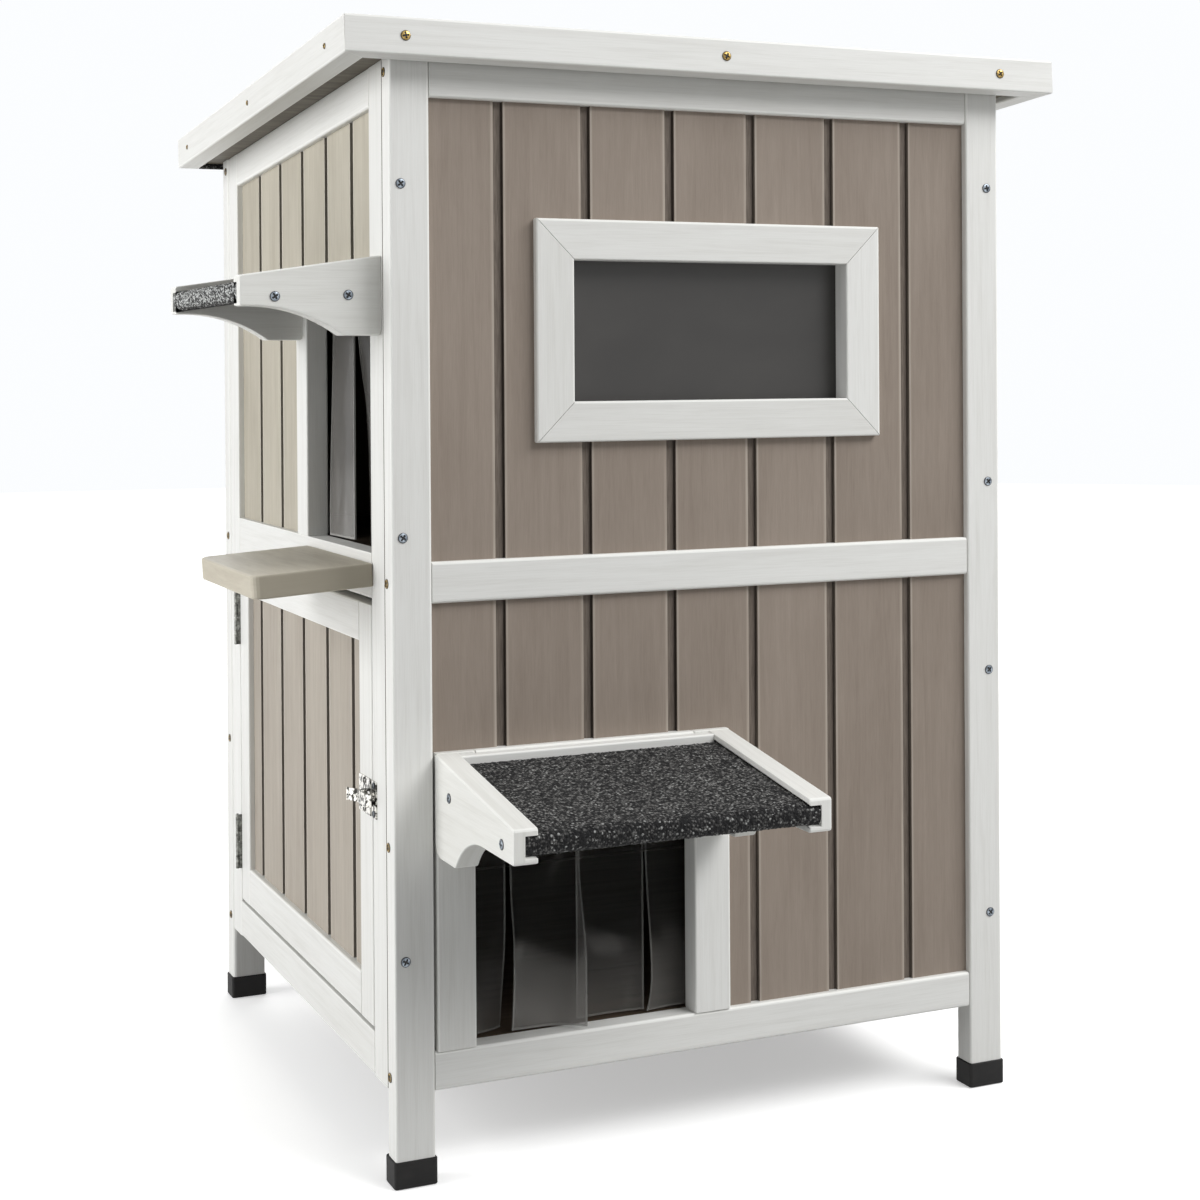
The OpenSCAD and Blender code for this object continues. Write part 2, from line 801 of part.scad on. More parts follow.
// Half of a door hinge on one face of the gap: side +1 for the wall's stile, -1 for the door's
module door_leaf(side) {
  root = knuckle_r + knuckle_gap;
  edge = door_gap_hinge / 2;
  tip = door_hinge_out + leaf_w;
  low = side > 0 ? edge - leaf_t : -edge;
  hinge_knuckles(side > 0 ? 0 : 1) translate([0, low, 0]) cube([root, leaf_t, knuckle_l]);
  translate([root, low, 0]) cube([tip - root, leaf_t, hinge_l]);
}

// The two places of the door's hinges
module at_door_hinges() {
  for (z = [door_z0 + hinge_inset, door_z1 - hinge_inset - hinge_l])
    translate([door_hinge_x, door_hinge_y, z]) children();
}

module door_hinge_wall_leaves() {
  color(nickel) in_place() at_door_hinges() {
    door_leaf(1);
    hinge_pin();
  }
}

module door_hinge_door_leaves() {
  color(nickel) in_place() at_door_hinges() door_leaf(-1);
}

// The latch is drawn in the wall's frame: X along the wall, Y inwards, its faces at rail_recess
latch_pin_x = door_y0 + latch_pin_in;
latch_pin_y = rail_recess - latch_pin_out;
lever_r = 2.6;
lip_x = latch_pin_x - keeper_reach;
lip_y = latch_pin_y + keeper_r + claw_clearance + latch_t - lever_r;
latch_face = rail_recess - latch_t;
latch_low = latch_z - latch_plate_h / 2;
latch_high = latch_z + latch_plate_h / 2;
latch_screw_in = 3.3;

// Places of the screws in the door's plate and in the keeper
module latch_screw_spots() {
  for (z = [latch_low + latch_screw_in, latch_high - latch_screw_in])
    translate([door_y0 + latch_screw_x, latch_face, z]) to_front() children();
}
module keeper_screw_spots() {
  for (z = [latch_low + latch_screw_in, latch_high - latch_screw_in])
    translate([lip_x, latch_face, z]) to_front() children();
}

module latch_base() {
  ear_gap = lever_w / 2 + 0.3;
  color(nickel) in_place() on_left() {
    difference() {
      union() {
        bar([door_y0 + 1, latch_face, latch_low], [door_y0 + 1 + latch_plate_w, rail_recess, latch_high]);
        for (z = [latch_z - ear_gap - latch_t, latch_z + ear_gap])
          translate([latch_pin_x, latch_pin_y, z]) {
            cylinder(r = 2.9, h = latch_t);
            translate([-2.5, 0, 0]) cube([6, latch_pin_out - 0.2, latch_t]);
          }
      }
      translate([latch_pin_x, latch_pin_y, latch_low])
        cylinder(r = latch_pin_r + pin_clearance, h = latch_plate_h);
      latch_screw_spots() screw_hole(screw_l);
    }
    translate([latch_pin_x, latch_pin_y, latch_z - ear_gap - latch_t - 0.6])
      cylinder(r = latch_pin_r, h = 2 * (ear_gap + latch_t + 0.6));
  }
}

module latch_lever() {
  claw_r = keeper_r + claw_clearance;
  color(nickel) in_place() on_left()
    translate([0, 0, latch_z - lever_w / 2])
      difference() {
        linear_extrude(lever_w) {
          translate([latch_pin_x, latch_pin_y]) {
            circle(r = lever_r);
            translate([-keeper_reach, -lever_r]) square([keeper_reach, latch_t]);
            polygon([[0, -lever_r], [tab_l / 2, -lever_r], [tab_l, -lever_r - tab_rise],
                     [tab_l + latch_t, latch_t - lever_r - tab_rise],
                     [tab_l / 2 + latch_t / 2, latch_t - lever_r], [0, latch_t - lever_r]]);
          }
          translate([lip_x, lip_y]) intersection() {
            difference() {
              circle(r = claw_r + latch_t);
              circle(r = claw_r);
            }
            translate([-claw_r - latch_t, -claw_r - latch_t]) square(claw_r + latch_t);
          }
        }
        translate([latch_pin_x, latch_pin_y, -1])
          cylinder(r = latch_pin_r + pin_clearance, h = lever_w + 2);
      }
}

module latch_keeper() {
  color(nickel) in_place() on_left() difference() {
    union() {
      bar([lip_x - keeper_w / 2, latch_face, latch_low], [lip_x + keeper_w / 2, rail_recess, latch_high]);
      translate([lip_x, lip_y, latch_z - lever_w / 2]) {
        cylinder(r = keeper_r, h = lever_w);
        translate([keeper_r - latch_t, 0, 0]) cube([latch_t, latch_face - lip_y + 0.2, lever_w]);
      }
    }
    keeper_screw_spots() screw_hole(screw_l);
  }
}

// The door's plate is fixed by its own two screws, the keeper by the other two
module latch_screws() {
  color(nickel) in_place() on_left() latch_screw_spots() screw(latch_screw_r, screw_l);
}

// Outline of an awning bracket, with X outwards from the wall and Y up from the ground
module bracket_outline(top, reach, fall, nose, heel_h, heel_l, cove_r, heel_r) {
  low = top - heel_h;
  drop = heel_h - fall - nose;
  cove_x = heel_l + sqrt(cove_r * cove_r - (cove_r - drop) * (cove_r - drop));
  difference() {
    polygon([[0, low], [cove_x, low], [cove_x, low + drop], [reach, low + drop],
             [reach, top - fall], [0, top]]);
    translate([cove_x, low + drop - cove_r]) circle(r = cove_r, $fn = 96);
    translate([0, low]) difference() {
      translate([-1, -1]) square(heel_r + 1);
      translate([heel_r, heel_r]) circle(r = heel_r);
    }
  }
}

// Slot for the awning board, along the bracket's top edge
module slot_outline(top, reach, fall) {
  steep = fall / reach;
  start = awning_batten_t;
  polygon([[start, top - slot_cover - start * steep], [reach + 1, top - slot_cover - (reach + 1) * steep],
           [reach + 1, top - slot_cover - slot_h - (reach + 1) * steep],
           [start, top - slot_cover - slot_h - start * steep]]);
}

// Section of a felted awning board that lies in the slot, its felt folded round the front edge
module awning_section(top, reach, fall, felt) {
  angle = atan(fall / reach);
  start = awning_batten_t + 0.3;
  length = (reach - 2 - start) / cos(angle);
  depth = awning_board_t + 2 * felt_t;
  round_r = depth / 3;
  translate([start, top - slot_cover - slot_h - start * tan(angle)])
    rotate(-angle)
      translate([slot_h * sin(angle) / 2, 0.05])
        if (felt) {
          difference() {
            round_nose(length - slot_h * sin(angle) / 2, depth, round_r);
            translate([-1, felt_t]) round_nose(length + 1 - felt_t - slot_h * sin(angle) / 2,
                                               awning_board_t, round_r - felt_t);
          }
        } else {
          translate([0, felt_t]) round_nose(length - felt_t - slot_h * sin(angle) / 2,
                                            awning_board_t, round_r - felt_t);
        }
}

// Bar outline with a rounded far end
module round_nose(l, h, r) {
  polygon([[0, 0], [l - r, 0], [l, r], [l, h - r], [l - r, h], [0, h]]);
  translate([l - r, r]) circle(r = r);
  translate([l - r, h - r]) circle(r = r);
}

// Front awning: the wall's face is Y = 0 and the awning reaches to the front
module front_awning(x0, x1) {
  mirror([0, 1, 0]) along_x(x0, x1) children();
}

// Side awning: the wall's face is X = rail_recess and the awning reaches to the left
module side_awning(y0, y1) {
  translate([rail_recess, 0, 0]) mirror([1, 0, 0]) along_y(y0, y1) children();
}

bracket_in = 1.3;
front_bracket_left = jamb_left - bracket_in;
front_bracket_right = jamb_right - bracket_in / 2 - bracket_t;
side_bracket_front = leg_t + 4;
side_bracket_back = side_jamb_y + 10;

// Places of the screws in the brackets' outer sides: distance from the wall, height under the top
front_bracket_screws = [[31.7, 27], [137.9, 38]];
side_bracket_screws = [[25.7, 30], [81.3, 31.5]];

module front_bracket_spots() {
  for (p = front_bracket_screws) {
    translate([front_bracket_left, -p[0], awning_z - p[1]]) to_left() children();
    translate([front_bracket_right + bracket_t, -p[0], awning_z - p[1]]) to_right() children();
  }
}

module side_bracket_spots() {
  for (p = side_bracket_screws) {
    translate([rail_recess - p[0], side_bracket_front, side_awning_z - p[1]])
      to_front() children();
    translate([rail_recess - p[0], side_bracket_back + bracket_t, side_awning_z - p[1]])
      rotate([0, 0, 180]) to_front() children();
  }
}

module front_bracket_outline() {
  bracket_outline(awning_z, awning_reach, awning_fall, awning_nose, awning_heel_h,
                  awning_heel_l, awning_cove_r, awning_heel_r);
}

module side_bracket_outline() {
  bracket_outline(side_awning_z, side_awning_reach, side_awning_fall, side_awning_nose,
                  side_awning_heel_h, side_awning_heel_l, side_awning_cove_r, side_awning_heel_r);
}

module front_awning_brackets() {
  left = front_bracket_left;
  right = front_bracket_right;
  color(white_paint) in_place() difference() {
    union() {
      front_awning(left, left + bracket_t) front_bracket_outline();
      front_awning(right, right + bracket_t) front_bracket_outline();
    }
    front_awning(left + bracket_t - slot_deep, right + slot_deep)
      slot_outline(awning_z, awning_reach, awning_fall);
    front_bracket_spots() screw_hole(awning_screw_l);
  }
}

module side_awning_brackets() {
  front = side_bracket_front;
  back = side_bracket_back;
  color(white_paint) in_place() difference() {
    union() {
      side_awning(front, front + bracket_t) side_bracket_outline();
      side_awning(back, back + bracket_t) side_bracket_outline();
    }
    side_awning(front + bracket_t - slot_deep, back + slot_deep)
      slot_outline(side_awning_z, side_awning_reach, side_awning_fall);
    side_bracket_spots() screw_hole(awning_screw_l);
  }
}

module awning_battens() {
  low = slot_cover + slot_h;
  front_top = awning_z - awning_batten_t * awning_fall / awning_reach;
  side_top = side_awning_z - awning_batten_t * side_awning_fall / side_awning_reach;
  color(white_paint) in_place() {
    bar([front_bracket_left + bracket_t, -awning_batten_t, awning_z - low],
        [front_bracket_right, 0, front_top]);
    bar([rail_recess - awning_batten_t, side_bracket_front + bracket_t, side_awning_z - low],
        [rail_recess, side_bracket_back, side_top]);
  }
}

// Both awning boards, or the felt round both
module awning_tops(felt) {
  in_slot = bracket_t - slot_deep + 0.3;
  front_awning(front_bracket_left + in_slot, front_bracket_right + bracket_t - in_slot)
    awning_section(awning_z, awning_reach, awning_fall, felt);
  side_awning(side_bracket_front + in_slot, side_bracket_back + bracket_t - in_slot)
    awning_section(side_awning_z, side_awning_reach, side_awning_fall, felt);
}

module awning_boards() {
  color(raw_wood) in_place() awning_tops(false);
}

module awning_felts() {
  color(dark_felt) in_place() awning_tops(true);
}

module landing_board() {
  front = stile_y0 - 5;
  color(khaki_paint) in_place() intersection() {
    translate([rail_recess, front, landing_z])
      rotate([0, -landing_slope, 0])
        translate([-landing_l / cos(landing_slope), 0, -landing_t])
          linear_extrude(landing_t) landing_outline();
    bar([-house_w, 0, 0], [rail_recess, house_d, roof_top_z]);
  }
}

// Plan of the landing board, with two rounded corners at its outer end
module landing_outline() {
  l = landing_l / cos(landing_slope) + landing_t;
  polygon([[0, landing_r], [landing_r, 0], [l, 0], [l, landing_w], [landing_r, landing_w],
           [0, landing_w - landing_r]]);
  for (y = [landing_r, landing_w - landing_r]) translate([landing_r, y]) circle(r = landing_r);
}

// Floor between the side walls and the end walls
module floor_panel(top) {
  bar([rail_in, leg_t, top - floor_t], [house_w - rail_in, house_d - leg_t, top]);
}

module upper_floor() {
  color(raw_wood) in_place() floor_panel(mid_top);
}

module lower_floor() {
  color(raw_wood) in_place() floor_panel(bottom_top);
}

module floor_battens() {
  color(raw_wood) in_place()
    for (x = [rail_in, house_w - rail_in - floor_batten], top = [mid_top, bottom_top])
      bar([x, stile_y0, top - floor_t - floor_batten], [x + floor_batten, stile_y1, top - floor_t]);
}

// Curtain strips hang in the wall's frame: X along the wall, Y inwards
clamp_top = 1.5;
strip_reach = 0.6;
strip_seat = 0.5;
front_strip_x = [38, 99.8, 156, 213.9];
front_strip_layer = [0, 0, 1, 0];
side_strip_y = [160, 92.2, 30];
front_axis_z = lintel_z - strip_drop;
side_axis_z = side_lintel_z - strip_drop;

function strip_y(layer) = leg_t + strip_gap + layer * strip_layer;

function smooth(t) = t <= 0 ? 0 : t >= 1 ? 1 : t * t * (3 - 2 * t);

// How far a strip stands out at a share q of its width and a share v of its drop: its bow, and
// a curl of its far edge that grows between two shares of the drop
function strip_out(q, v, bow, curl) =
  bow * 4 * q * (1 - q) * v
  + curl[0] * pow(max(0, (q - 0.45) / 0.55), 2) * smooth((v - curl[1]) / (curl[2] - curl[1]));

// One strip as a thin bowed sheet, hanging from z = top
module strip(x, layer, top, drop, bow, curl) {
  nu = 6;
  nv = 12;
  row = nu + 1;
  half = row * (nv + 1);
  front = [for (j = [0:nv], i = [0:nu])
    let (out = strip_out(i / nu, j / nv, bow, curl))
      [strip_w * i / nu, -out, -sqrt(max(0, pow(drop * j / nv, 2) - out * out))]];
  points = concat(front, [for (p = front) p + [0, strip_t, 0]]);
  cells = [for (j = [0:nv - 1], i = [0:nu - 1]) j * row + i];
  face = concat([for (a = cells) [a, a + 1, a + row + 1]], [for (a = cells) [a, a + row + 1, a + row]]);
  back = [for (f = face) [f[0] + half, f[2] + half, f[1] + half]];
  rim = concat([for (i = [0:nu - 1]) [i + 1, i]], [for (i = [0:nu - 1]) [nv * row + i, nv * row + i + 1]],
               [for (j = [0:nv - 1]) [j * row, j * row + row]],
               [for (j = [0:nv - 1]) [j * row + row + nu, j * row + nu]]);
  edge = concat([for (e = rim) [e[0], e[1], e[1] + half]], [for (e = rim) [e[0], e[1] + half, e[0] + half]]);
  translate([x, strip_y(layer), top]) polyhedron(points, concat(face, back, edge));
}

module front_strip(k, bow, curl) {
  color(clear_plastic) in_place()
    strip(front_strip_x[k], front_strip_layer[k], front_axis_z + strip_reach,
          front_axis_z + strip_reach - bottom_top - strip_foot, bow, curl);
}

module side_strip(k, bow, curl) {
  color(clear_plastic) in_place() on_left()
    strip(side_strip_y[k], 0, side_axis_z + strip_reach,
          side_axis_z + strip_reach - side_mid_top - strip_foot, bow, curl);
}

module front_strip_1() {
  front_strip(0, -strip_bow, [-strip_curl_in, 0.55, 1.1]);
}
module front_strip_2() {
  front_strip(1, strip_bow, [strip_curl_out, 0.33, 0.75]);
}
module front_strip_3() {
  front_strip(2, -strip_bow, [0, 0, 1]);
}
module front_strip_4() {
  front_strip(3, -strip_bow, [0, 0, 1]);
}
module side_strip_1() {
  side_strip(0, strip_bow, [side_strip_lean, 0, 1]);
}
module side_strip_2() {
  side_strip(1, -strip_bow, [-side_strip_curl, 0, 1]);
}
module side_strip_3() {
  side_strip(2, -strip_bow, [0, 0, 1]);
}

// Clamped upper end of a strip, behind the lintel
module strip_end(x, layer, axis_z, top) {
  y = leg_t + layer * strip_layer;
  bar([x, y, axis_z + strip_reach + strip_seat], [x + strip_w, y + strip_t, top - clamp_top]);
}

module strip_ends() {
  color(clear_plastic) in_place() {
    for (k = [0:3]) strip_end(front_strip_x[k], front_strip_layer[k], front_axis_z, awning_z);
    on_left()
      for (k = [0:2]) strip_end(side_strip_y[k], 0, side_axis_z, side_awning_z);
  }
}

// Batten that clamps a curtain's ends
module clamp_batten(x0, x1, low, top) {
  y0 = leg_t + strip_t;
  bar([x0, y0, low], [x1, y0 + clamp_t, top - clamp_top]);
}

// The front curtain's batten is stepped back over the strip of the second layer
module clamp_battens() {
  color(white_paint) in_place() {
    difference() {
      clamp_batten(front_strip_x[0], front_strip_x[3] + strip_w, lintel_z + clamp_top, awning_z);
      bar([front_strip_x[2] - 0.5, 0, 0],
          [front_strip_x[3] - 0.2, leg_t + strip_t + strip_layer, roof_top_z]);
    }
    on_left() clamp_batten(side_strip_y[2], side_strip_y[0] + strip_w,
                           side_lintel_z + clamp_top, side_awning_z);
  }
}

fascia_in = fascia_t - roof_side;
under = -roof_felt_t - deck_t;

module roof_front_fascia() {
  w = house_w + roof_side;
  color(white_paint) in_place() difference() {
    on_roof() translate([0, 0, -fascia_h]) linear_extrude(fascia_h)
      polygon([[-roof_side, 0], [w, 0], [w - fascia_t, fascia_t], [fascia_in, fascia_t]]);
    roof_front_spots() screw_hole(screw_l);
  }
}

// One side fascia, mitred at its front end
module side_fascia() {
  on_roof() translate([0, 0, -fascia_h]) linear_extrude(fascia_h)
    polygon([[-roof_side, mitre_gap], [fascia_in, fascia_t + mitre_gap], [fascia_in, roof_len],
             [-roof_side, roof_len]]);
}

module roof_side_fascias() {
  color(white_paint) in_place() difference() {
    union() {
      side_fascia();
      on_right() side_fascia();
    }
    roof_side_spots() screw_hole(screw_l);
    on_right() roof_side_spots() screw_hole(screw_l);
  }
}

module roof_front_spots() {
  on_roof()
    for (x = [roof_screw_left - roof_side, house_w / 2 - 11, house_w + roof_side - roof_screw_right])
      translate([x, 0, -roof_screw_drop]) to_front() children();
}

module roof_side_spots() {
  on_roof()
    for (y = [roof_screw_front, roof_len / 2 - 7, roof_len - roof_screw_back])
      translate([-roof_side, y, -roof_screw_drop]) to_left() children();
}

module roof_screws() {
  color(brass) in_place() {
    roof_front_spots() screw(screw_head_r, screw_l);
    roof_side_spots() screw(screw_head_r, screw_l);
    on_right() roof_side_spots() screw(screw_head_r, screw_l);
  }
}

module roof_felt() {
  color(dark_felt) in_place() on_roof()
    along_x(fascia_in, house_w - fascia_in)
      polygon([[fascia_t, -roof_felt_t], [roof_len - roof_felt_t, -roof_felt_t],
               [roof_len - roof_felt_t, -fascia_h], [roof_len, -fascia_h],
               [roof_len, 0], [fascia_t, 0]]);
}

module roof_deck() {
  color(raw_wood) in_place() on_roof()
    bar([fascia_in, fascia_t, under], [house_w - fascia_in, roof_len - roof_felt_t, -roof_felt_t]);
}

module roof_battens() {
  low = -roof_build;
  y0 = fascia_t + roof_batten_w;
  y1 = roof_len - roof_felt_t - roof_batten_w;
  x0 = fascia_in;
  x1 = house_w - fascia_in;
  color(raw_wood) in_place() on_roof() {
    bar([x0, fascia_t, low], [x1, y0, under]);
    bar([x0, y1, low], [x1, roof_len - roof_felt_t, under]);
    bar([x0, y0 + mitre_gap, low], [x0 + roof_batten_w, y1 - mitre_gap, under]);
    bar([x1 - roof_batten_w, y0 + mitre_gap, low], [x1, y1 - mitre_gap, under]);
  }
}

// The roof hinges' axis, close behind the back rail
roof_hinge_y = house_d - rail_recess + knuckle_r + roof_hinge_gap;
roof_hinge_z = under_z(roof_hinge_y) - roof_hinge_drop;

module at_roof_hinges() {
  for (x = [roof_hinge_inset, house_w - roof_hinge_inset - hinge_l])
    translate([x, roof_hinge_y, roof_hinge_z]) children();
}

// Turns a hinge's length from Z to X, with its own X downwards and Y to the back
module hinge_along_x() {
  rotate([0, 90, 0]) children();
}

module roof_hinge_wall_leaves() {
  face = -knuckle_r - roof_hinge_gap;
  root = knuckle_r + knuckle_gap;
  color(nickel) in_place() at_roof_hinges() hinge_along_x() {
    hinge_knuckles(0) {
      translate([0, face, 0]) cube([root, -face, knuckle_l]);
    }
    translate([root, face, 0]) cube([roof_leaf_h, leaf_t, hinge_l]);
    hinge_pin();
  }
}

module roof_hinge_roof_leaves() {
  color(nickel) in_place() at_roof_hinges()
    rotate([-roof_slope, 0, 0]) {
      up = roof_hinge_drop * cos(roof_slope);
      past = (house_d + roof_back - roof_hinge_y) / cos(roof_slope);
      back = past - roof_felt_t - roof_build * tan(roof_slope) - roof_hinge_drop * sin(roof_slope);
      hinge_along_x() hinge_knuckles(1) translate([-up, -1, 0]) cube([up, 2, knuckle_l]);
      translate([0, -1, up - leaf_t]) cube([hinge_l, back + 0.7, leaf_t]);
    }
}

front_left_leg();
front_right_leg();
back_left_leg();
back_right_leg();
foot_caps();
front_rails();
front_upper_boards();
front_lower_boards();
front_doorway_jambs();
front_doorway_lintel();
window_frame();
window_pane();
window_beads();
back_rails();
back_boards();
right_stiles();
right_rails();
right_boards();
left_stiles();
left_rails();
left_boards();
side_doorway_jamb();
side_doorway_lintel();
door_stiles();
door_rails();
door_boards();
door_hinge_wall_leaves();
door_hinge_door_leaves();
latch_base();
latch_lever();
latch_keeper();
latch_screws();
landing_board();
upper_floor();
lower_floor();
floor_battens();
front_awning_brackets();
side_awning_brackets();
awning_battens();
awning_boards();
awning_felts();
clamp_battens();
strip_ends();
front_strip_1();
front_strip_2();
front_strip_3();
front_strip_4();
side_strip_1();
side_strip_2();
side_strip_3();
roof_deck();
roof_battens();
roof_felt();
roof_front_fascia();
roof_side_fascias();
roof_hinge_wall_leaves();
roof_hinge_roof_leaves();
zinc_screws();
brass_screws();
roof_screws();
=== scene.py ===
"""Looks of an outdoor cat house: painted timber, felt, vinyl curtains and metal fittings."""
import logging
import math
from dataclasses import dataclass
from enum import Enum
from typing import Callable, Optional, Sequence, Union

import bpy
import numpy as np
from mathutils import Matrix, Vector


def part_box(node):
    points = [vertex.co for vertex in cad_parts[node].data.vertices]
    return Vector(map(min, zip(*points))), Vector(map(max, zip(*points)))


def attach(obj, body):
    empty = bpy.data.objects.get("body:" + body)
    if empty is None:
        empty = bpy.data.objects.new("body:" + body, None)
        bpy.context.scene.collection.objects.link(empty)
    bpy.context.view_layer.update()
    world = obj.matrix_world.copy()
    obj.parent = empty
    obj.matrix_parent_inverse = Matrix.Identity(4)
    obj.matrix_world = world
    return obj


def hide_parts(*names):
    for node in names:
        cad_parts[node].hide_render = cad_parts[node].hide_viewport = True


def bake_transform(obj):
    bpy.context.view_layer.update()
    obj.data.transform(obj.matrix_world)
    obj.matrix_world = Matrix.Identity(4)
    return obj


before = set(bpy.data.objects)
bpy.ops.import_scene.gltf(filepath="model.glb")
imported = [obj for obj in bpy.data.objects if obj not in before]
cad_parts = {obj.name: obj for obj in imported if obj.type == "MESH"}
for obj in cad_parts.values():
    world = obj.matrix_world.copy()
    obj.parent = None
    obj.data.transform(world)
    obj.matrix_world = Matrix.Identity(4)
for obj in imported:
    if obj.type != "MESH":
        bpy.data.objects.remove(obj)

LOG = logging.getLogger("cat_house")
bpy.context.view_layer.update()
LEG_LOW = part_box("front_left_leg")[0]
ORIGIN = np.array([-LEG_LOW.x * 1000, -LEG_LOW.y * 1000, 0.0])

Outline = Sequence[Sequence[float]]
Colour = tuple[float, float, float]
Scale = tuple[float, float, float]
Look = bpy.types.Material
End = Union[float, Callable[[np.ndarray, np.ndarray], np.ndarray]]
Place = Callable[[np.ndarray], np.ndarray]
Screw = tuple[Sequence[float], Sequence[float], float]

LEFT, RIGHT, FRONT, BACK = (-1, 0, 0), (1, 0, 0), (0, -1, 0), (0, 1, 0)


class Axis(Enum):
    """An axis of the house: a member is carried along one, and boards are set out along one."""

    X = 0
    Y = 1
    Z = 2


def rgb(code: str) -> Colour:
    """Turns a hexadecimal screen colour into linear light.

    Args:
        code: six hexadecimal digits.

    Returns:
        Linear red, green and blue: c / 12.92 in the darkest part, and ((c + 0.055) / 1.055)
        to the power 2.4 above it.
    """
    parts = [int(code[i:i + 2], 16) / 255 for i in (0, 2, 4)]
    return tuple(c / 12.92 if c <= 0.04045 else ((c + 0.055) / 1.055) ** 2.4 for c in parts)


@dataclass
class Signal:
    """A value that varies over a surface; arithmetic on it adds Math nodes."""

    nodes: "Nodes"
    socket: bpy.types.NodeSocket

    def maths(self, operation: str, *values: object) -> "Signal":
        """Adds one Math node of an operation on the values."""
        return self.nodes.node("ShaderNodeMath", {"operation": operation},
                               dict(enumerate(values)))

    def __add__(self, other: object) -> "Signal":
        """Sum."""
        return self.maths("ADD", self, other)

    __radd__ = __add__

    def __sub__(self, other: object) -> "Signal":
        """Difference."""
        return self.maths("SUBTRACT", self, other)

    def __rsub__(self, other: object) -> "Signal":
        """Difference from a number before it."""
        return self.maths("SUBTRACT", other, self)

    def __mul__(self, other: object) -> "Signal":
        """Product."""
        return self.maths("MULTIPLY", self, other)

    __rmul__ = __mul__

    def fraction(self) -> "Signal":
        """The part after the decimal point, from 0 to 1."""
        return self.maths("FRACT", self)

    def whole(self) -> "Signal":
        """The whole number below it."""
        return self.maths("FLOOR", self)

    def band(self, start: float, end: float) -> "Signal":
        """A smooth step from 0 at start to 1 at end.

        Args:
            start: value where the step begins; it may lie above end.
            end: value where the step is complete.

        Returns:
            The step, held within 0 and 1.
        """
        return self.nodes.node("ShaderNodeMapRange", {"interpolation_type": "SMOOTHSTEP"},
                               {"Value": self, "From Min": start, "From Max": end,
                                "To Min": 0.0, "To Max": 1.0})


@dataclass
class Nodes:
    """A node tree being written."""

    tree: bpy.types.NodeTree

    def feed(self, socket: bpy.types.NodeSocket, value: object) -> None:
        """Links a signal to a socket, or sets a plain value on it.

        Args:
            socket: the socket.
            value: a signal, a number, a vector or a colour of three numbers.
        """
        if isinstance(value, Signal):
            self.tree.links.new(value.socket, socket)
        elif isinstance(value, tuple) and socket.type == "RGBA" and len(value) == 3:
            socket.default_value = (*value, 1.0)
        else:
            socket.default_value = value

    def node(self, kind: str, settings: dict, inputs: dict,
             output: Union[int, str] = 0) -> Signal:
        """Adds one node.

        Args:
            kind: the node's type name.
            settings: its own settings, set first.
            inputs: values or signals by socket name or number.
            output: which of its outputs is wanted.

        Returns:
            The output as a signal.
        """
        made = self.tree.nodes.new(kind)
        for key, value in settings.items():
            setattr(made, key, value)
        for key, value in inputs.items():
            self.feed(made.inputs[key], value)
        return Signal(self, made.outputs[output])

    def seen(self) -> Signal:
        """1 for what the camera sees, in gloss and through glass too, and 0 for other light."""
        camera, gloss, glass = [self.node("ShaderNodeLightPath", {}, {}, f"Is {ray} Ray")
                                for ray in ("Camera", "Glossy", "Transmission")]
        return glass.maths("MAXIMUM", gloss.maths("MAXIMUM", camera, gloss), glass)


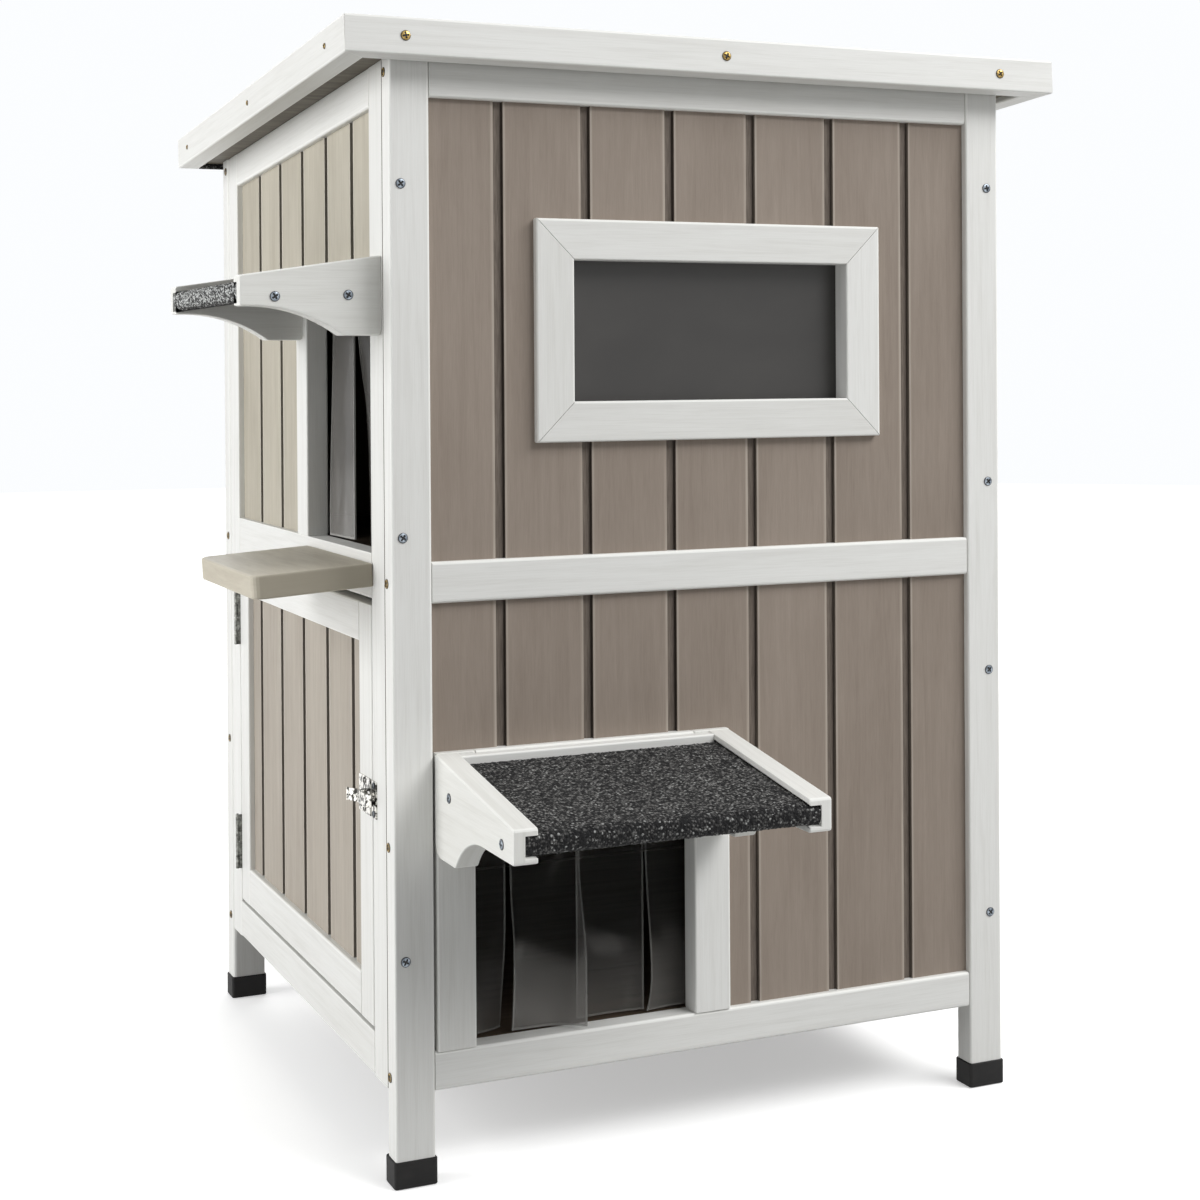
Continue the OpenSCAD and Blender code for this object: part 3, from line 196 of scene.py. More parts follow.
class Shader(Nodes):
    """A material being written, with one Principled surface."""

    def __init__(self, name: str) -> None:
        """Makes an empty node material with its surface and output.

        Args:
            name: the material's name.
        """
        self.material = bpy.data.materials.new(name)
        self.material.use_nodes = True
        super().__init__(self.material.node_tree)
        self.tree.nodes.clear()
        self.surface = self.tree.nodes.new("ShaderNodeBsdfPrincipled")
        output = self.tree.nodes.new("ShaderNodeOutputMaterial")
        self.tree.links.new(self.surface.outputs[0], output.inputs["Surface"])

    def place(self) -> Signal:
        """The point's own place on the object, in metres."""
        return self.node("ShaderNodeTexCoord", {}, {}, "Object")

    def grain(self) -> Signal:
        """The point's place along and round its member, in metres."""
        return self.node("ShaderNodeUVMap", {"uv_map": "grain"}, {})

    def mark(self, name: str) -> Signal:
        """A number that the mesh carries."""
        return self.node("ShaderNodeAttribute", {"attribute_name": name}, {}, "Fac")

    def part(self, vector: Signal, axis: str) -> Signal:
        """One axis of a vector."""
        return self.node("ShaderNodeSeparateXYZ", {}, {0: vector}, axis)

    def stretch(self, vector: Signal, scale: tuple, shift: object = (0.0, 0.0, 0.0)) -> Signal:
        """Multiplies a vector by a scale along each axis and adds a shift."""
        return self.node("ShaderNodeVectorMath", {"operation": "MULTIPLY_ADD"},
                         {0: vector, 1: scale, 2: shift})

    def noise(self, vector: Signal, detail: float = 3.0, rough: float = 0.55,
              twist: float = 0.0) -> Signal:
        """Soft noise of about one cell per unit of the vector."""
        return self.node("ShaderNodeTexNoise", {},
                         {"Vector": vector, "Scale": 1.0, "Detail": detail,
                          "Roughness": rough, "Distortion": twist})

    def mix(self, factor: object, first: object, second: object) -> Signal:
        """A colour between two, from the first at 0 to the second at 1."""
        return self.node("ShaderNodeMix", {"data_type": "RGBA"},
                         {0: factor, 6: first, 7: second}, 2)

    def shift(self, tone: Signal, *steps: float) -> Signal:
        """A vector that grows with a tone by a step along each axis."""
        return self.node("ShaderNodeCombineXYZ", {},
                         {axis: tone * step for axis, step in enumerate(steps)})

    def relief(self, height: Signal, depth: float, strength: float = 1.0) -> Signal:
        """Turns a height from 0 to 1 into a surface that deep, in metres."""
        return self.node("ShaderNodeBump", {}, {"Strength": strength, "Distance": depth,
                                                "Height": height})

    def finish(self, **sockets: object) -> Look:
        """Sets the surface's sockets, with words joined by an underscore, and ends it."""
        for key, value in sockets.items():
            self.feed(self.surface.inputs[key.replace("_", " ")], value)
        return self.material


@dataclass(frozen=True)
class Whitewash:
    """White paint rubbed thin on planed fir, with a painted highlight where edges are rounded."""

    name: str = "whitewash"
    light: Colour = rgb("E9E9E6")
    shade: Colour = rgb("D4D3CE")
    # Colour of the painted highlight on rounded edges.
    edge: Colour = rgb("F6F6F2")
    roughness: float = 0.5
    streaks: Scale = (9.0, 210.0, 1.0)
    hairs: Scale = (30.0, 1300.0, 1.0)
    clouds: Scale = (5.0, 24.0, 1.0)
    depth: float = 0.00035

    def material(self) -> Look:
        """Streaks run along each member; tone moves them from one member to the next."""
        s = Shader(self.name)
        grain = s.grain()
        tone = s.mark("tone")
        shift = s.shift(tone, 31.0, 17.0)
        streak = s.noise(s.stretch(grain, self.streaks, shift), 5.0, 0.6, 0.35)
        hair = s.noise(s.stretch(grain, self.hairs, shift), 2.0)
        cloud = s.noise(s.stretch(grain, self.clouds, shift), 3.0)
        thin = streak.band(0.4, 0.8) * 0.4 + hair.band(0.4, 0.85) * 0.3 + \
            cloud.band(0.35, 0.9) * 0.25 + tone * 0.3
        body = s.mix(thin, self.light, self.shade)
        # Painted highlight where the mesh marks a rounded edge.
        colour = s.mix(s.mark("edge") * 0.6, body, self.edge)
        height = streak * 0.7 + hair * 0.3
        rough = streak * 0.2 + (self.roughness - 0.1)
        return s.finish(Base_Color=colour, Roughness=rough,
                        Normal=s.relief(height, self.depth, 0.5), Specular_IOR_Level=0.35)


@dataclass(frozen=True)
class StainedBoards:
    """Stained upright boards with a shadow groove at every joint."""

    name: str
    run: Axis
    joint: float
    pitch: float
    groove: float
    inside: float
    way: float
    light: Colour = rgb("998D82")
    dark: Colour = rgb("84786D")
    # Colour of the pale rim: a painted highlight with some wear.
    edge: Colour = rgb("C2B8AC")
    line: Colour = rgb("221A14")
    # Painted shade on the boards' inner faces, for the dark room inside.
    inner: Colour = rgb("4A3E33")
    gloom: float = 0.34
    streaks: Scale = (150.0, 150.0, 7.0)
    hairs: Scale = (1100.0, 1100.0, 60.0)
    clouds: Scale = (22.0, 22.0, 7.0)
    depth: float = 0.0005

    def material(self) -> Look:
        """The place along the run, in boards, gives each board's tone and its groove.

        The place in a board runs from 0 at one joint to 1 at the next, with the groove last.
        A pale rim, a painted highlight with some wear, stands at both ends of its face, a dark
        line at both walls of the groove, and painted shade between them. From the inside depth
        on, in the given way through the wall, the boards are darkened with painted shade.
        """
        s = Shader(self.name)
        place = s.place()
        boards = (s.part(place, self.run.name) - self.joint) * (1.0 / self.pitch)
        inside = boards.fraction()
        tone = s.node("ShaderNodeTexWhiteNoise", {"noise_dimensions": "1D"},
                      {"W": boards.whole()})
        shift = s.shift(tone, 5.0, 9.0, 3.0)
        streak = s.noise(s.stretch(place, self.streaks, shift), 6.0, 0.66, 0.8)
        hair = s.noise(s.stretch(place, self.hairs, shift), 3.0, 0.6)
        cloud = s.noise(s.stretch(place, self.clouds, shift), 4.0, 0.6)
        face_end = 1.0 - self.groove / self.pitch
        mm = 0.001 / self.pitch
        thin = streak.band(0.25, 0.8) * 0.4 + hair.band(0.3, 0.8) * 0.25 + \
            cloud.band(0.3, 0.75) * 0.35 + tone * 0.2
        body = s.mix(thin, self.light, self.dark)
        # Painted highlight, with some wear, on the rounded ends of each board's face.
        rim = inside.band(2.6 * mm, 0.9 * mm) + \
            inside.band(face_end - 3.0 * mm, face_end - 0.8 * mm) * \
            inside.band(face_end + 0.4 * mm, face_end + 0.1 * mm)
        worn = s.mix(rim * streak.band(0.2, 0.7) * 0.65, body, self.edge)
        deep = inside.band(face_end - 0.1 * mm, face_end + 0.5 * mm)
        shadow = s.mix(deep * (hair.band(0.3, 0.7) * 0.25 + self.gloom), worn, self.line)
        joint = inside.band(1.0 - 1.5 * mm, 1.0 - 0.7 * mm) + inside.band(0.5 * mm, 0.1 * mm) + \
            inside.band(face_end - 0.1 * mm, face_end + 0.3 * mm) * \
            inside.band(face_end + 1.1 * mm, face_end + 0.4 * mm)
        faced = s.mix(joint * 0.55, shadow, self.line)
        through = Axis.Y if self.run is Axis.X else Axis.X
        depth = (s.part(place, through.name) - self.inside) * self.way
        # Painted shade on the inner side of the wall.
        painted_inner_shade = s.mix(thin * 0.45, self.inner, self.line)
        colour = s.mix(depth.band(0.0008, 0.0012), faced, painted_inner_shade)
        height = streak * 0.75 + hair * 0.25
        return s.finish(Base_Color=colour, Roughness=streak * 0.2 + 0.5,
                        Normal=s.relief(height, self.depth, 0.6), Specular_IOR_Level=0.3)


@dataclass(frozen=True)
class Stain:
    """One colour of stain or plain timber on a member with its grain laid out."""

    name: str
    light: Colour
    dark: Colour
    streaks: Scale
    own_grain: bool = False
    roughness: float = 0.6
    edge: Colour = rgb("CFC9BA")
    end: Colour = rgb("9B9485")
    depth: float = 0.0004

    def material(self) -> Look:
        """Streaks run along the member's own grain, or along one axis of its place.

        Rubbed edges are paler, and end grain, which drinks more stain, is darker.
        """
        s = Shader(self.name)
        where = s.grain() if self.own_grain else s.place()
        streak = s.noise(s.stretch(where, self.streaks), 5.0, 0.6, 0.4)
        fine = s.noise(s.stretch(where, tuple(5.0 * k for k in self.streaks)), 2.0)
        thin = streak.band(0.3, 0.75) * 0.7 + fine.band(0.3, 0.8) * 0.3
        body = s.mix(thin, self.light, self.dark)
        worn = s.mix(s.mark("edge") * 0.3, body, self.edge)
        return s.finish(Base_Color=s.mix(s.mark("end") * 0.9, worn, self.end),
                        Roughness=streak * 0.2 + (self.roughness - 0.1),
                        Normal=s.relief(streak, self.depth, 0.5), Specular_IOR_Level=0.3)


@dataclass(frozen=True)
class MineralFelt:
    """Roofing felt with coarse dark granules, lighter where they catch the light."""

    name: str = "mineral_felt"
    dark: Colour = rgb("19191A")
    grey: Colour = rgb("838280")
    speck: Colour = rgb("DCDEDC")
    granules: float = 560.0
    bends: float = 900.0
    bend: float = 0.0009
    depth: float = 0.0014

    def material(self) -> Look:
        """Cells of about two millimetres take a random shade each, dark in between.

        The nose mark paints light and shade on the awnings' noses: above zero it makes the
        light granules brighter and more of them, as painted light, and below zero it darkens
        the body, as painted shade.
        """
        s = Shader(self.name)
        place = s.place()
        bent = s.stretch(s.node("ShaderNodeTexNoise", {}, {"Vector": place, "Scale": self.bends},
                                "Color"), (self.bend,) * 3, place)
        spots = {"Vector": bent, "Scale": self.granules}
        cells = s.node("ShaderNodeTexVoronoi", {}, dict(spots), "Color")
        dome = s.node("ShaderNodeTexVoronoi", {}, dict(spots), "Distance")
        shade = s.part(cells, "X")
        # Painted light on the side awning's nose and painted shade on the front's.
        nose = s.mark("nose")
        more = nose.maths("MAXIMUM", nose, 0.0)
        nose_light_and_shade = nose.maths("ABSOLUTE", nose)
        between = dome.band(0.35, 0.7)
        body = s.mix(shade.band(0.15, 1.0) * 0.9 + nose * 0.4, self.dark, self.grey)
        lit = s.mix((shade + more * 0.62).band(0.9, 0.97) * (more * 0.5 + nose_light_and_shade * 0.2 + 0.3),
                    body, self.speck)
        colour = s.mix(between * 0.9, lit, self.dark)
        return s.finish(Base_Color=colour, Roughness=0.9,
                        Normal=s.relief(1.0 - dome, self.depth), Specular_IOR_Level=0.25)


@dataclass(frozen=True)
class Rubber:
    """Black moulded rubber, dusty and a little worn."""

    name: str = "moulded_rubber"
    black: Colour = rgb("100F0F")
    dust: Colour = rgb("232221")
    clouds: Scale = (60.0, 60.0, 90.0)
    grains: Scale = (1500.0, 1500.0, 1500.0)
    depth: float = 0.0001

    def material(self) -> Look:
        """Dust lies in soft clouds over a fine grain."""
        s = Shader(self.name)
        place = s.place()
        cloud = s.noise(s.stretch(place, self.clouds), 4.0)
        grit = s.noise(s.stretch(place, self.grains), 2.0)
        return s.finish(Base_Color=s.mix(cloud.band(0.4, 0.8) * 0.7, self.black, self.dust),
                        Roughness=cloud * 0.2 + 0.5, Normal=s.relief(grit, self.depth, 0.6),
                        Specular_IOR_Level=0.25)


@dataclass(frozen=True)
class Vinyl:
    """Soft clear vinyl over a dark room, with a painted reflection of the floor low down and
    painted highlights along its cut edges.
    """

    name: str = "clear_vinyl"
    body: Colour = rgb("8F8C88")
    # Colour of the painted highlight along the cut edges.
    cut: Colour = rgb("A9A9A5")
    smears: Scale = (1.6, 2.6, 1.0)
    depth: float = 0.004

    def material(self) -> Look:
        """The first grain axis runs across the strip from 0 to 1, the second down it.

        A pale band, a painted reflection of the floor, begins along a slanting wavy line at
        about two thirds of the drop, with a paler painted highlight above it here and there.
        The pale cut edges are painted highlights.
        """
        s = Shader(self.name)
        grain = s.grain()
        across, down = s.part(grain, "X"), s.part(grain, "Y")
        tone = s.mark("tone")
        shift = s.shift(tone, 13.0, 7.0)
        # Painted highlight along the cut edges and the foot.
        rim = across.band(0.026, 0.01) + across.band(0.974, 0.99) + down.band(0.988, 0.996)
        smear = s.noise(s.stretch(grain, self.smears, shift), 2.0, 0.45, 0.6)
        line = down + smear * 0.25 - across * 0.06
        # Painted reflection of the floor low down, and painted highlights here and there above
        # it.
        haze = (line.band(0.74, 0.86) * 0.12 + line.band(0.8, 1.15) * 0.16) * s.mark("haze")
        painted_highlight_patch = smear.band(0.54, 0.76) * down.band(0.1, 0.35) * 0.13
        colour = s.mix(rim * 0.6, self.body, self.cut)
        film = s.mark("film")
        alpha = (haze + painted_highlight_patch + film + rim * (film + 0.16)) * down.band(0.0, 0.02)
        return s.finish(Base_Color=colour, Roughness=smear * 0.12 + 0.1, Alpha=alpha,
                        Normal=s.relief(smear, self.depth, 0.4), Specular_IOR_Level=0.25)


@dataclass(frozen=True)
class PlainVinyl:
    """The same vinyl where it is clamped."""

    name: str = "clamped_vinyl"
    body: Colour = rgb("1E1D1C")
    clouds: Scale = (40.0, 40.0, 40.0)
    film: float = 0.25

    def material(self) -> Look:
        """Faint clouds over the dark clear sheet."""
        s = Shader(self.name)
        cloud = s.noise(s.stretch(s.place(), self.clouds), 2.0)
        return s.finish(Base_Color=self.body, Roughness=cloud * 0.2 + 0.3, Alpha=self.film,
                        Specular_IOR_Level=0.05)


@dataclass(frozen=True)
class PaintedShadePane:
    """Clear sheet painted nearly opaque and dark, as painted shade of the room behind it, with
    faint dust.
    """

    name: str = "painted_shade_pane"
    body: Colour = rgb("302E2C")
    dust: Colour = rgb("383633")
    clouds: Scale = (9.0, 9.0, 14.0)

    def material(self) -> Look:
        """Dust thickens in wide soft clouds."""
        s = Shader(self.name)
        cloud = s.noise(s.stretch(s.place(), self.clouds), 4.0, 0.6, 0.3)
        return s.finish(Base_Color=s.mix(cloud.band(0.35, 0.8) * 0.6, self.body, self.dust),
                        Roughness=cloud * 0.15 + 0.3, Alpha=cloud * 0.04 + 0.94)


@dataclass(frozen=True)
class Metal:
    """A plated metal with fine brushing and light tarnish."""

    name: str
    bright: Colour
    dull: Colour
    roughness: float
    # Painted shade, with some grime, where the mesh marks a recess.
    recess_shade_and_dirt: Colour = rgb("0E0C0A")
    # Where the dull colour shows: tarnish, and on the nickel painted dark reflections.
    tarnish_and_reflection_patches: tuple[float, float] = (0.3, 0.7)
    clouds: Scale = (260.0, 260.0, 260.0)
    brushing: Scale = (900.0, 900.0, 6000.0)
    depth: float = 0.00005

    def material(self) -> Look:
        """Tarnish lies in small clouds, which on the nickel are painted dark reflections, and
        painted shade with some grime lies where the mesh marks a recess.
        """
        s = Shader(self.name)
        place = s.place()
        cloud = s.noise(s.stretch(place, self.clouds), 3.0)
        brush = s.noise(s.stretch(place, self.brushing), 2.0)
        plate = s.mix(cloud.band(*self.tarnish_and_reflection_patches), self.bright, self.dull)
        recess = s.mark("recess")
        return s.finish(Base_Color=s.mix(recess, plate, self.recess_shade_and_dirt), Metallic=1.0 - recess * 0.8,
                        Roughness=cloud * 0.2 + (self.roughness - 0.1),
                        Normal=s.relief(brush, self.depth, 0.5))


@dataclass
class Shape:
    """Faces of one member: its points, quads, caps, grain places and edge marks."""

    points: np.ndarray
    quads: np.ndarray
    caps: list[np.ndarray]
    grain: np.ndarray
    edges: np.ndarray


def rounded(outline: Outline, radii: object, steps: int) -> tuple[np.ndarray, np.ndarray]:
    """Rounds the corners of a closed outline that runs counterclockwise.

    Each corner's outward normal turns evenly from the edge before it to the edge after it.
    A point is the arc's centre plus the radius times that normal, and the centre lies inside
    the corner by the radius times (n0 + n1) / (1 + n0 . n1). At a hollow corner both change
    sign.

    Args:
        outline: corners, counterclockwise.
        radii: one radius, or one for each corner.
        steps: pieces in each arc.

    Returns:
        The points and their outward normals, corner by corner.
    """
    p = np.asarray(outline, float)
    r = np.broadcast_to(np.asarray(radii, float), len(p))
    edge = np.roll(p, -1, 0) - p
    n1 = np.stack([edge[:, 1], -edge[:, 0]], 1) / np.linalg.norm(edge, axis=1)[:, None]
    n0 = np.roll(n1, 1, 0)
    turn = n0[:, 0] * n1[:, 1] - n0[:, 1] * n1[:, 0]
    dot = np.sum(n0 * n1, 1)
    signed = np.where(turn < 0, -r, r)[:, None]
    angle = np.arctan2(turn, dot)[:, None] * np.linspace(0, 1, steps + 1)
    c, s = np.cos(angle), np.sin(angle)
    normal = np.stack([n0[:, :1] * c - n0[:, 1:] * s, n0[:, :1] * s + n0[:, 1:] * c], -1)
    centre = p - signed * (n0 + n1) / (1 + dot)[:, None]
    points = centre[:, None] + signed[:, None] * normal
    return points.reshape(-1, 2), normal.reshape(-1, 2)


def end_values(end: End, points: np.ndarray) -> np.ndarray:
    """The end's height over each outline point, from a number or a rule."""
    return end(points[:, 0], points[:, 1]) if callable(end) else np.full(len(points), end)


def ring_quads(rings: int, count: int) -> np.ndarray:
    """Faces between closed rings of points that follow one another.

    Args:
        rings: how many rings there are.
        count: points in each ring.

    Returns:
        Quads of a point, its neighbour and the same two on the next ring, ring by ring.
    """
    i, j = np.meshgrid(np.arange(rings - 1), np.arange(count), indexing="ij")
    n = (j + 1) % count
    return np.stack([i * count + j, i * count + n, (i + 1) * count + n, (i + 1) * count + j],
                    -1).reshape(-1, 4)


def sheet_quads(rows: int, cols: int) -> np.ndarray:
    """Faces of a thin closed sheet: a grid of points, and the same grid behind it.

    Args:
        rows: points down the sheet.
        cols: points across it.

    Returns:
        Quads of the face, of the back, turned over, and of the rim that joins them.
    """
    i, j = np.meshgrid(np.arange(rows - 1), np.arange(cols - 1), indexing="ij")
    a = (i * cols + j).ravel()
    face = np.stack([a, a + cols, a + cols + 1, a + 1], -1)
    half = rows * cols
    loop = np.concatenate([np.arange(cols - 1), cols - 1 + cols * np.arange(rows - 1),
                           half - 1 - np.arange(cols - 1), cols * np.arange(rows - 1, 0, -1)])
    after = np.roll(loop, -1)
    rim = np.stack([loop, after, after + half, loop + half], -1)
    return np.concatenate([face, face[:, ::-1] + half, rim])


def prism(outline: Outline, low: End, high: End, grain: Axis, radii: object = 1.4,
          rims: tuple[float, float] = (0.6, 0.6), steps: int = 3,
          plate: bool = False) -> Shape:
    """Carries a rounded outline along an axis and rounds the rims of its two ends.

    A rim of radius r is a quarter circle: a ring lies in by r (1 - sin t) and along by
    r (1 - cos t). Place along the member and length round the outline give the grain.

    Args:
        outline: corners in the two cross axes, counterclockwise, in millimetres.
        low: where it starts, as a number or a rule of the cross axes.
        high: where it ends.
        grain: the axis it is carried along.
        radii: the long edges' radii.
        rims: the end rims' radii at the start and the end.
        steps: pieces in each rounding.
        plate: whether the grain runs along the outline and not along the axis.

    Returns:
        The closed shape, in the house's millimetres.
    """
    around, normal = rounded(outline, radii, steps)
    count = len(around)
    t = np.linspace(0, math.pi / 2, steps + 1)
    rings = []
    for end, rim, sign in ((low, rims[0], 1.0), (high, rims[1], -1.0)):
        rows = []
        for a in t if rim > 0 else t[-1:]:
            flat = around - normal * rim * (1 - math.sin(a))
            along = end_values(end, flat) + sign * rim * (1 - math.cos(a))
            rows.append(np.column_stack([flat, along]))
        rings += rows if sign > 0 else rows[::-1]
    table = np.stack(rings)
    k = len(table)
    quads = ring_quads(k, count)
    step = np.linalg.norm(np.roll(around, -1, 0) - around, axis=1)
    length = np.concatenate([[0.0], np.cumsum(step)])
    j = np.tile(np.arange(count), k - 1)
    u = table[..., 2].reshape(-1)[quads]
    v = length[np.stack([j, j + 1, j + 1, j], -1)]
    side = np.stack([v, u] if plate else [u, v], -1).reshape(-1, 2)
    caps = [np.arange(count)[::-1], np.arange(count) + (k - 1) * count]
    longer = int(np.argmax(np.ptp(around, axis=0)))
    ends = np.concatenate([table[0][::-1], table[-1]])[:, (longer, 1 - longer)]
    corner = (j % (steps + 1)) < steps
    body = np.repeat(np.arange(k - 1), count) == (steps if rims[0] > 0 else 0)
    order = {Axis.X: (2, 0, 1), Axis.Y: (1, 2, 0), Axis.Z: (0, 1, 2)}[grain]
    return Shape(table.reshape(-1, 3)[:, order], quads, caps,
                 np.concatenate([side, ends]) / 1000, np.append(corner | ~body, [False, False]))


def bar(low: Sequence[float], high: Sequence[float], grain: Axis, radii: object = 1.4,
        rim: float = 0.5, low_end: Optional[End] = None,
        high_end: Optional[End] = None) -> Shape:
    """A straight member between two opposite corners.

    Args:
        low: its lowest corner in the house's millimetres.
        high: its highest corner.
        grain: the axis along which it runs.
        radii: the long edges' radii, counterclockwise from the lowest corner.
        rim: the ends' radius.
        low_end: a rule for a cut start, in place of the low corner's.
        high_end: a rule for a cut end.

    Returns:
        The closed shape.
    """
    a, b = {Axis.X: (1, 2), Axis.Y: (2, 0), Axis.Z: (0, 1)}[grain]
    c = grain.value
    outline = [(low[a], low[b]), (high[a], low[b]), (high[a], high[b]), (low[a], high[b])]
    return prism(outline, low[c] if low_end is None else low_end,
                 high[c] if high_end is None else high_end, grain, radii, (rim, rim))


def new_mesh(name: str, points: np.ndarray, faces: list, material: Look) -> bpy.types.Mesh:
    """Makes a mesh with its finish.

    Args:
        name: the mesh's and its piece's name.
        points: places in the house's millimetres.
        faces: lists of points, counterclockwise from outside.
        material: its finish.

    Returns:
        The mesh, in metres and in the whole's frame.
    """
    mesh = bpy.data.meshes.new(name)
    mesh.from_pydata(((points - ORIGIN) / 1000).tolist(), [], faces)
    mesh.materials.append(material)
    return mesh


def set_mark(mesh: bpy.types.Mesh, name: str, values: np.ndarray,
             domain: str = "POINT") -> None:
    """Writes a number for every point or face, which the finish reads by name."""
    mark = mesh.attributes.new(name, "FLOAT", domain)
    mark.data.foreach_set("value", values.astype(np.float32))


def set_grain(mesh: bpy.types.Mesh, corners: np.ndarray) -> None:
    """Writes the place along and across the grain at every corner of every face."""
    layer = mesh.uv_layers.new(name="grain")
    layer.data.foreach_set("uv", corners.astype(np.float32).ravel())


def give(mesh: bpy.types.Mesh, body: Optional[str],
         replaced: Sequence[str]) -> bpy.types.Object:
    """Puts a finished mesh into the scene as a piece of the house.

    Args:
        mesh: the mesh, whose name the piece takes.
        body: the body it moves with, or none where it blends between two.
        replaced: the solids it stands for.

    Returns:
        The piece, with its place in its mesh.
    """
    made = bpy.data.objects.new(mesh.name, mesh)
    bpy.context.scene.collection.objects.link(made)
    if replaced:
        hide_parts(*replaced)
    if body:
        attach(made, body)
    LOG.info("%s: %d faces, on %s", made.name, len(mesh.polygons), body or "two bodies")
    return made


def build_piece(name: str, shapes: Sequence[Shape], material: Look, body: str,
                replaced: Sequence[str], place: Optional[Place] = None,
                seed: int = 1) -> bpy.types.Object:
    """Makes one mesh of several members and gives it to the frame.

    Args:
        name: the piece's name.
        shapes: its members in the house's millimetres.
        material: its finish.
        body: the body it moves with.
        replaced: the solids it stands for.
        place: moves the points first, as onto the sloping roof.
        seed: picks the members' tones.

    Returns:
        The finished piece.
    """
    counts = [len(s.points) for s in shapes]
    points = np.concatenate([s.points for s in shapes])
    faces = []
    for shape, start in zip(shapes, np.cumsum([0] + counts)):
        faces += (shape.quads + start).tolist() + [(cap + start).tolist() for cap in shape.caps]
    mesh = new_mesh(name, place(points) if place else points, faces, material)
    set_grain(mesh, np.concatenate([s.grain for s in shapes]))
    set_mark(mesh, "tone", np.repeat(np.random.default_rng(seed).random(len(shapes)), counts))
    set_mark(mesh, "edge", np.concatenate([s.edges for s in shapes]), "FACE")
    mesh.validate()
    return give(mesh, body, replaced)


def dress(nodes: Sequence[str], material: Look) -> None:
    """Gives solids that keep their shape a finish.

    Args:
        nodes: the solids' names.
        material: the finish.
    """
    for name in nodes:
        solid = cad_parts[name]
        solid.data.materials.clear()
        solid.data.materials.append(material)
        LOG.info("%s: keeps its shape, finished in %s", name, material.name)


@dataclass(frozen=True)
class Finishes:
    """Every material of the house, made once."""

    white: Look
    rough_white: Look
    front_boards: Look
    back_boards: Look
    left_boards: Look
    right_boards: Look
    door_boards: Look
    khaki: Look
    fir: Look
    aged: Look
    felt: Look
    rubber: Look
    vinyl: Look
    clamped: Look
    pane: Look
    nickel: Look
    steel: Look
    zinc: Look
    brass: Look


@dataclass(frozen=True)
class House:
    """Sizes that several parts of the house share, in millimetres."""

    width: float = 536.0
    depth: float = 522.0
    leg_w: float = 31.0
    leg_t: float = 20.0
    recess: float = 1.0
    rail_t: float = 18.0
    bottom: float = 68.0
    bottom_h: float = 29.0
    side_bottom_h: float = 33.0
    middle: float = 431.0
    middle_h: float = 31.0
    side_middle_h: float = 35.0
    top_h: float = 30.0
    front_stile: float = 34.0
    back_stile: float = 31.0
    roof_top: float = 862.0
    roof_build: float = 23.0
    roof_front: float = 22.1
    roof_side: float = 40.3
    roof_back: float = 15.2
    slope: float = math.radians(3.2)
    pitch: float = 72.0
    groove: float = 8.0
    boards_at: float = 8.5
    boards_t: float = 6.5
    seam: float = 0.5
    joint: float = 2.0
    roof_clear: float = 0.06
    front_top: float = 319.5
    side_top: float = 691.0

    def under(self, y: object) -> object:
        """Height of the walls' tops under the roof, at a place between front and back."""
        start = self.roof_top - self.roof_build / math.cos(self.slope) - self.roof_clear
        return start - (np.asarray(y) + self.roof_front) * math.tan(self.slope)

    def cut(self, x: np.ndarray, y: np.ndarray) -> np.ndarray:
        """The end rule of an upright that is cut to the roof's slope."""
        return self.under(y)

    def roof_sides(self) -> tuple[float, float, float]:
        """The roof's left and right ends, and its length down the slope."""
        length = (self.depth + self.roof_front + self.roof_back) / math.cos(self.slope)
        return -self.roof_side, self.width + self.roof_side, length

    def stile_ends(self) -> tuple[float, float]:
        """Where the side walls' rails start and end."""
        return self.leg_t + self.front_stile, self.depth - self.leg_t - self.back_stile

    def on_roof(self, points: np.ndarray) -> np.ndarray:
        """Lays points onto the roof: y runs down the slope and z stands on it.

        The roof's y becomes y cos s + z sin s, and its z becomes z cos s - y sin s, from the
        roof's front top edge.

        Args:
            points: places on the roof, in millimetres.

        Returns:
            The same places in the house.
        """
        c, s = math.cos(self.slope), math.sin(self.slope)
        x, y, z = points.T
        return np.column_stack([x, y * c + z * s - self.roof_front,
                                self.roof_top - y * s + z * c])


@dataclass
class Assembly:
    """A part of the house, made from the shared sizes and finishes."""

    house: House
    looks: Finishes

    def paint(self, name: str, shapes: Sequence[Shape], seed: int, node: str = "",
              body: str = "house", place: Optional[Place] = None) -> None:
        """Builds one white piece.

        Args:
            name: the piece's name without its first word.
            shapes: its members in the house's millimetres.
            seed: picks the members' tones.
            node: the solid it stands for, where its name isn't the same.
            body: the body it moves with.
            place: moves the points first.
        """
        build_piece(f"painted_{name}", shapes, self.looks.white, body,
                    [node or name], place, seed)


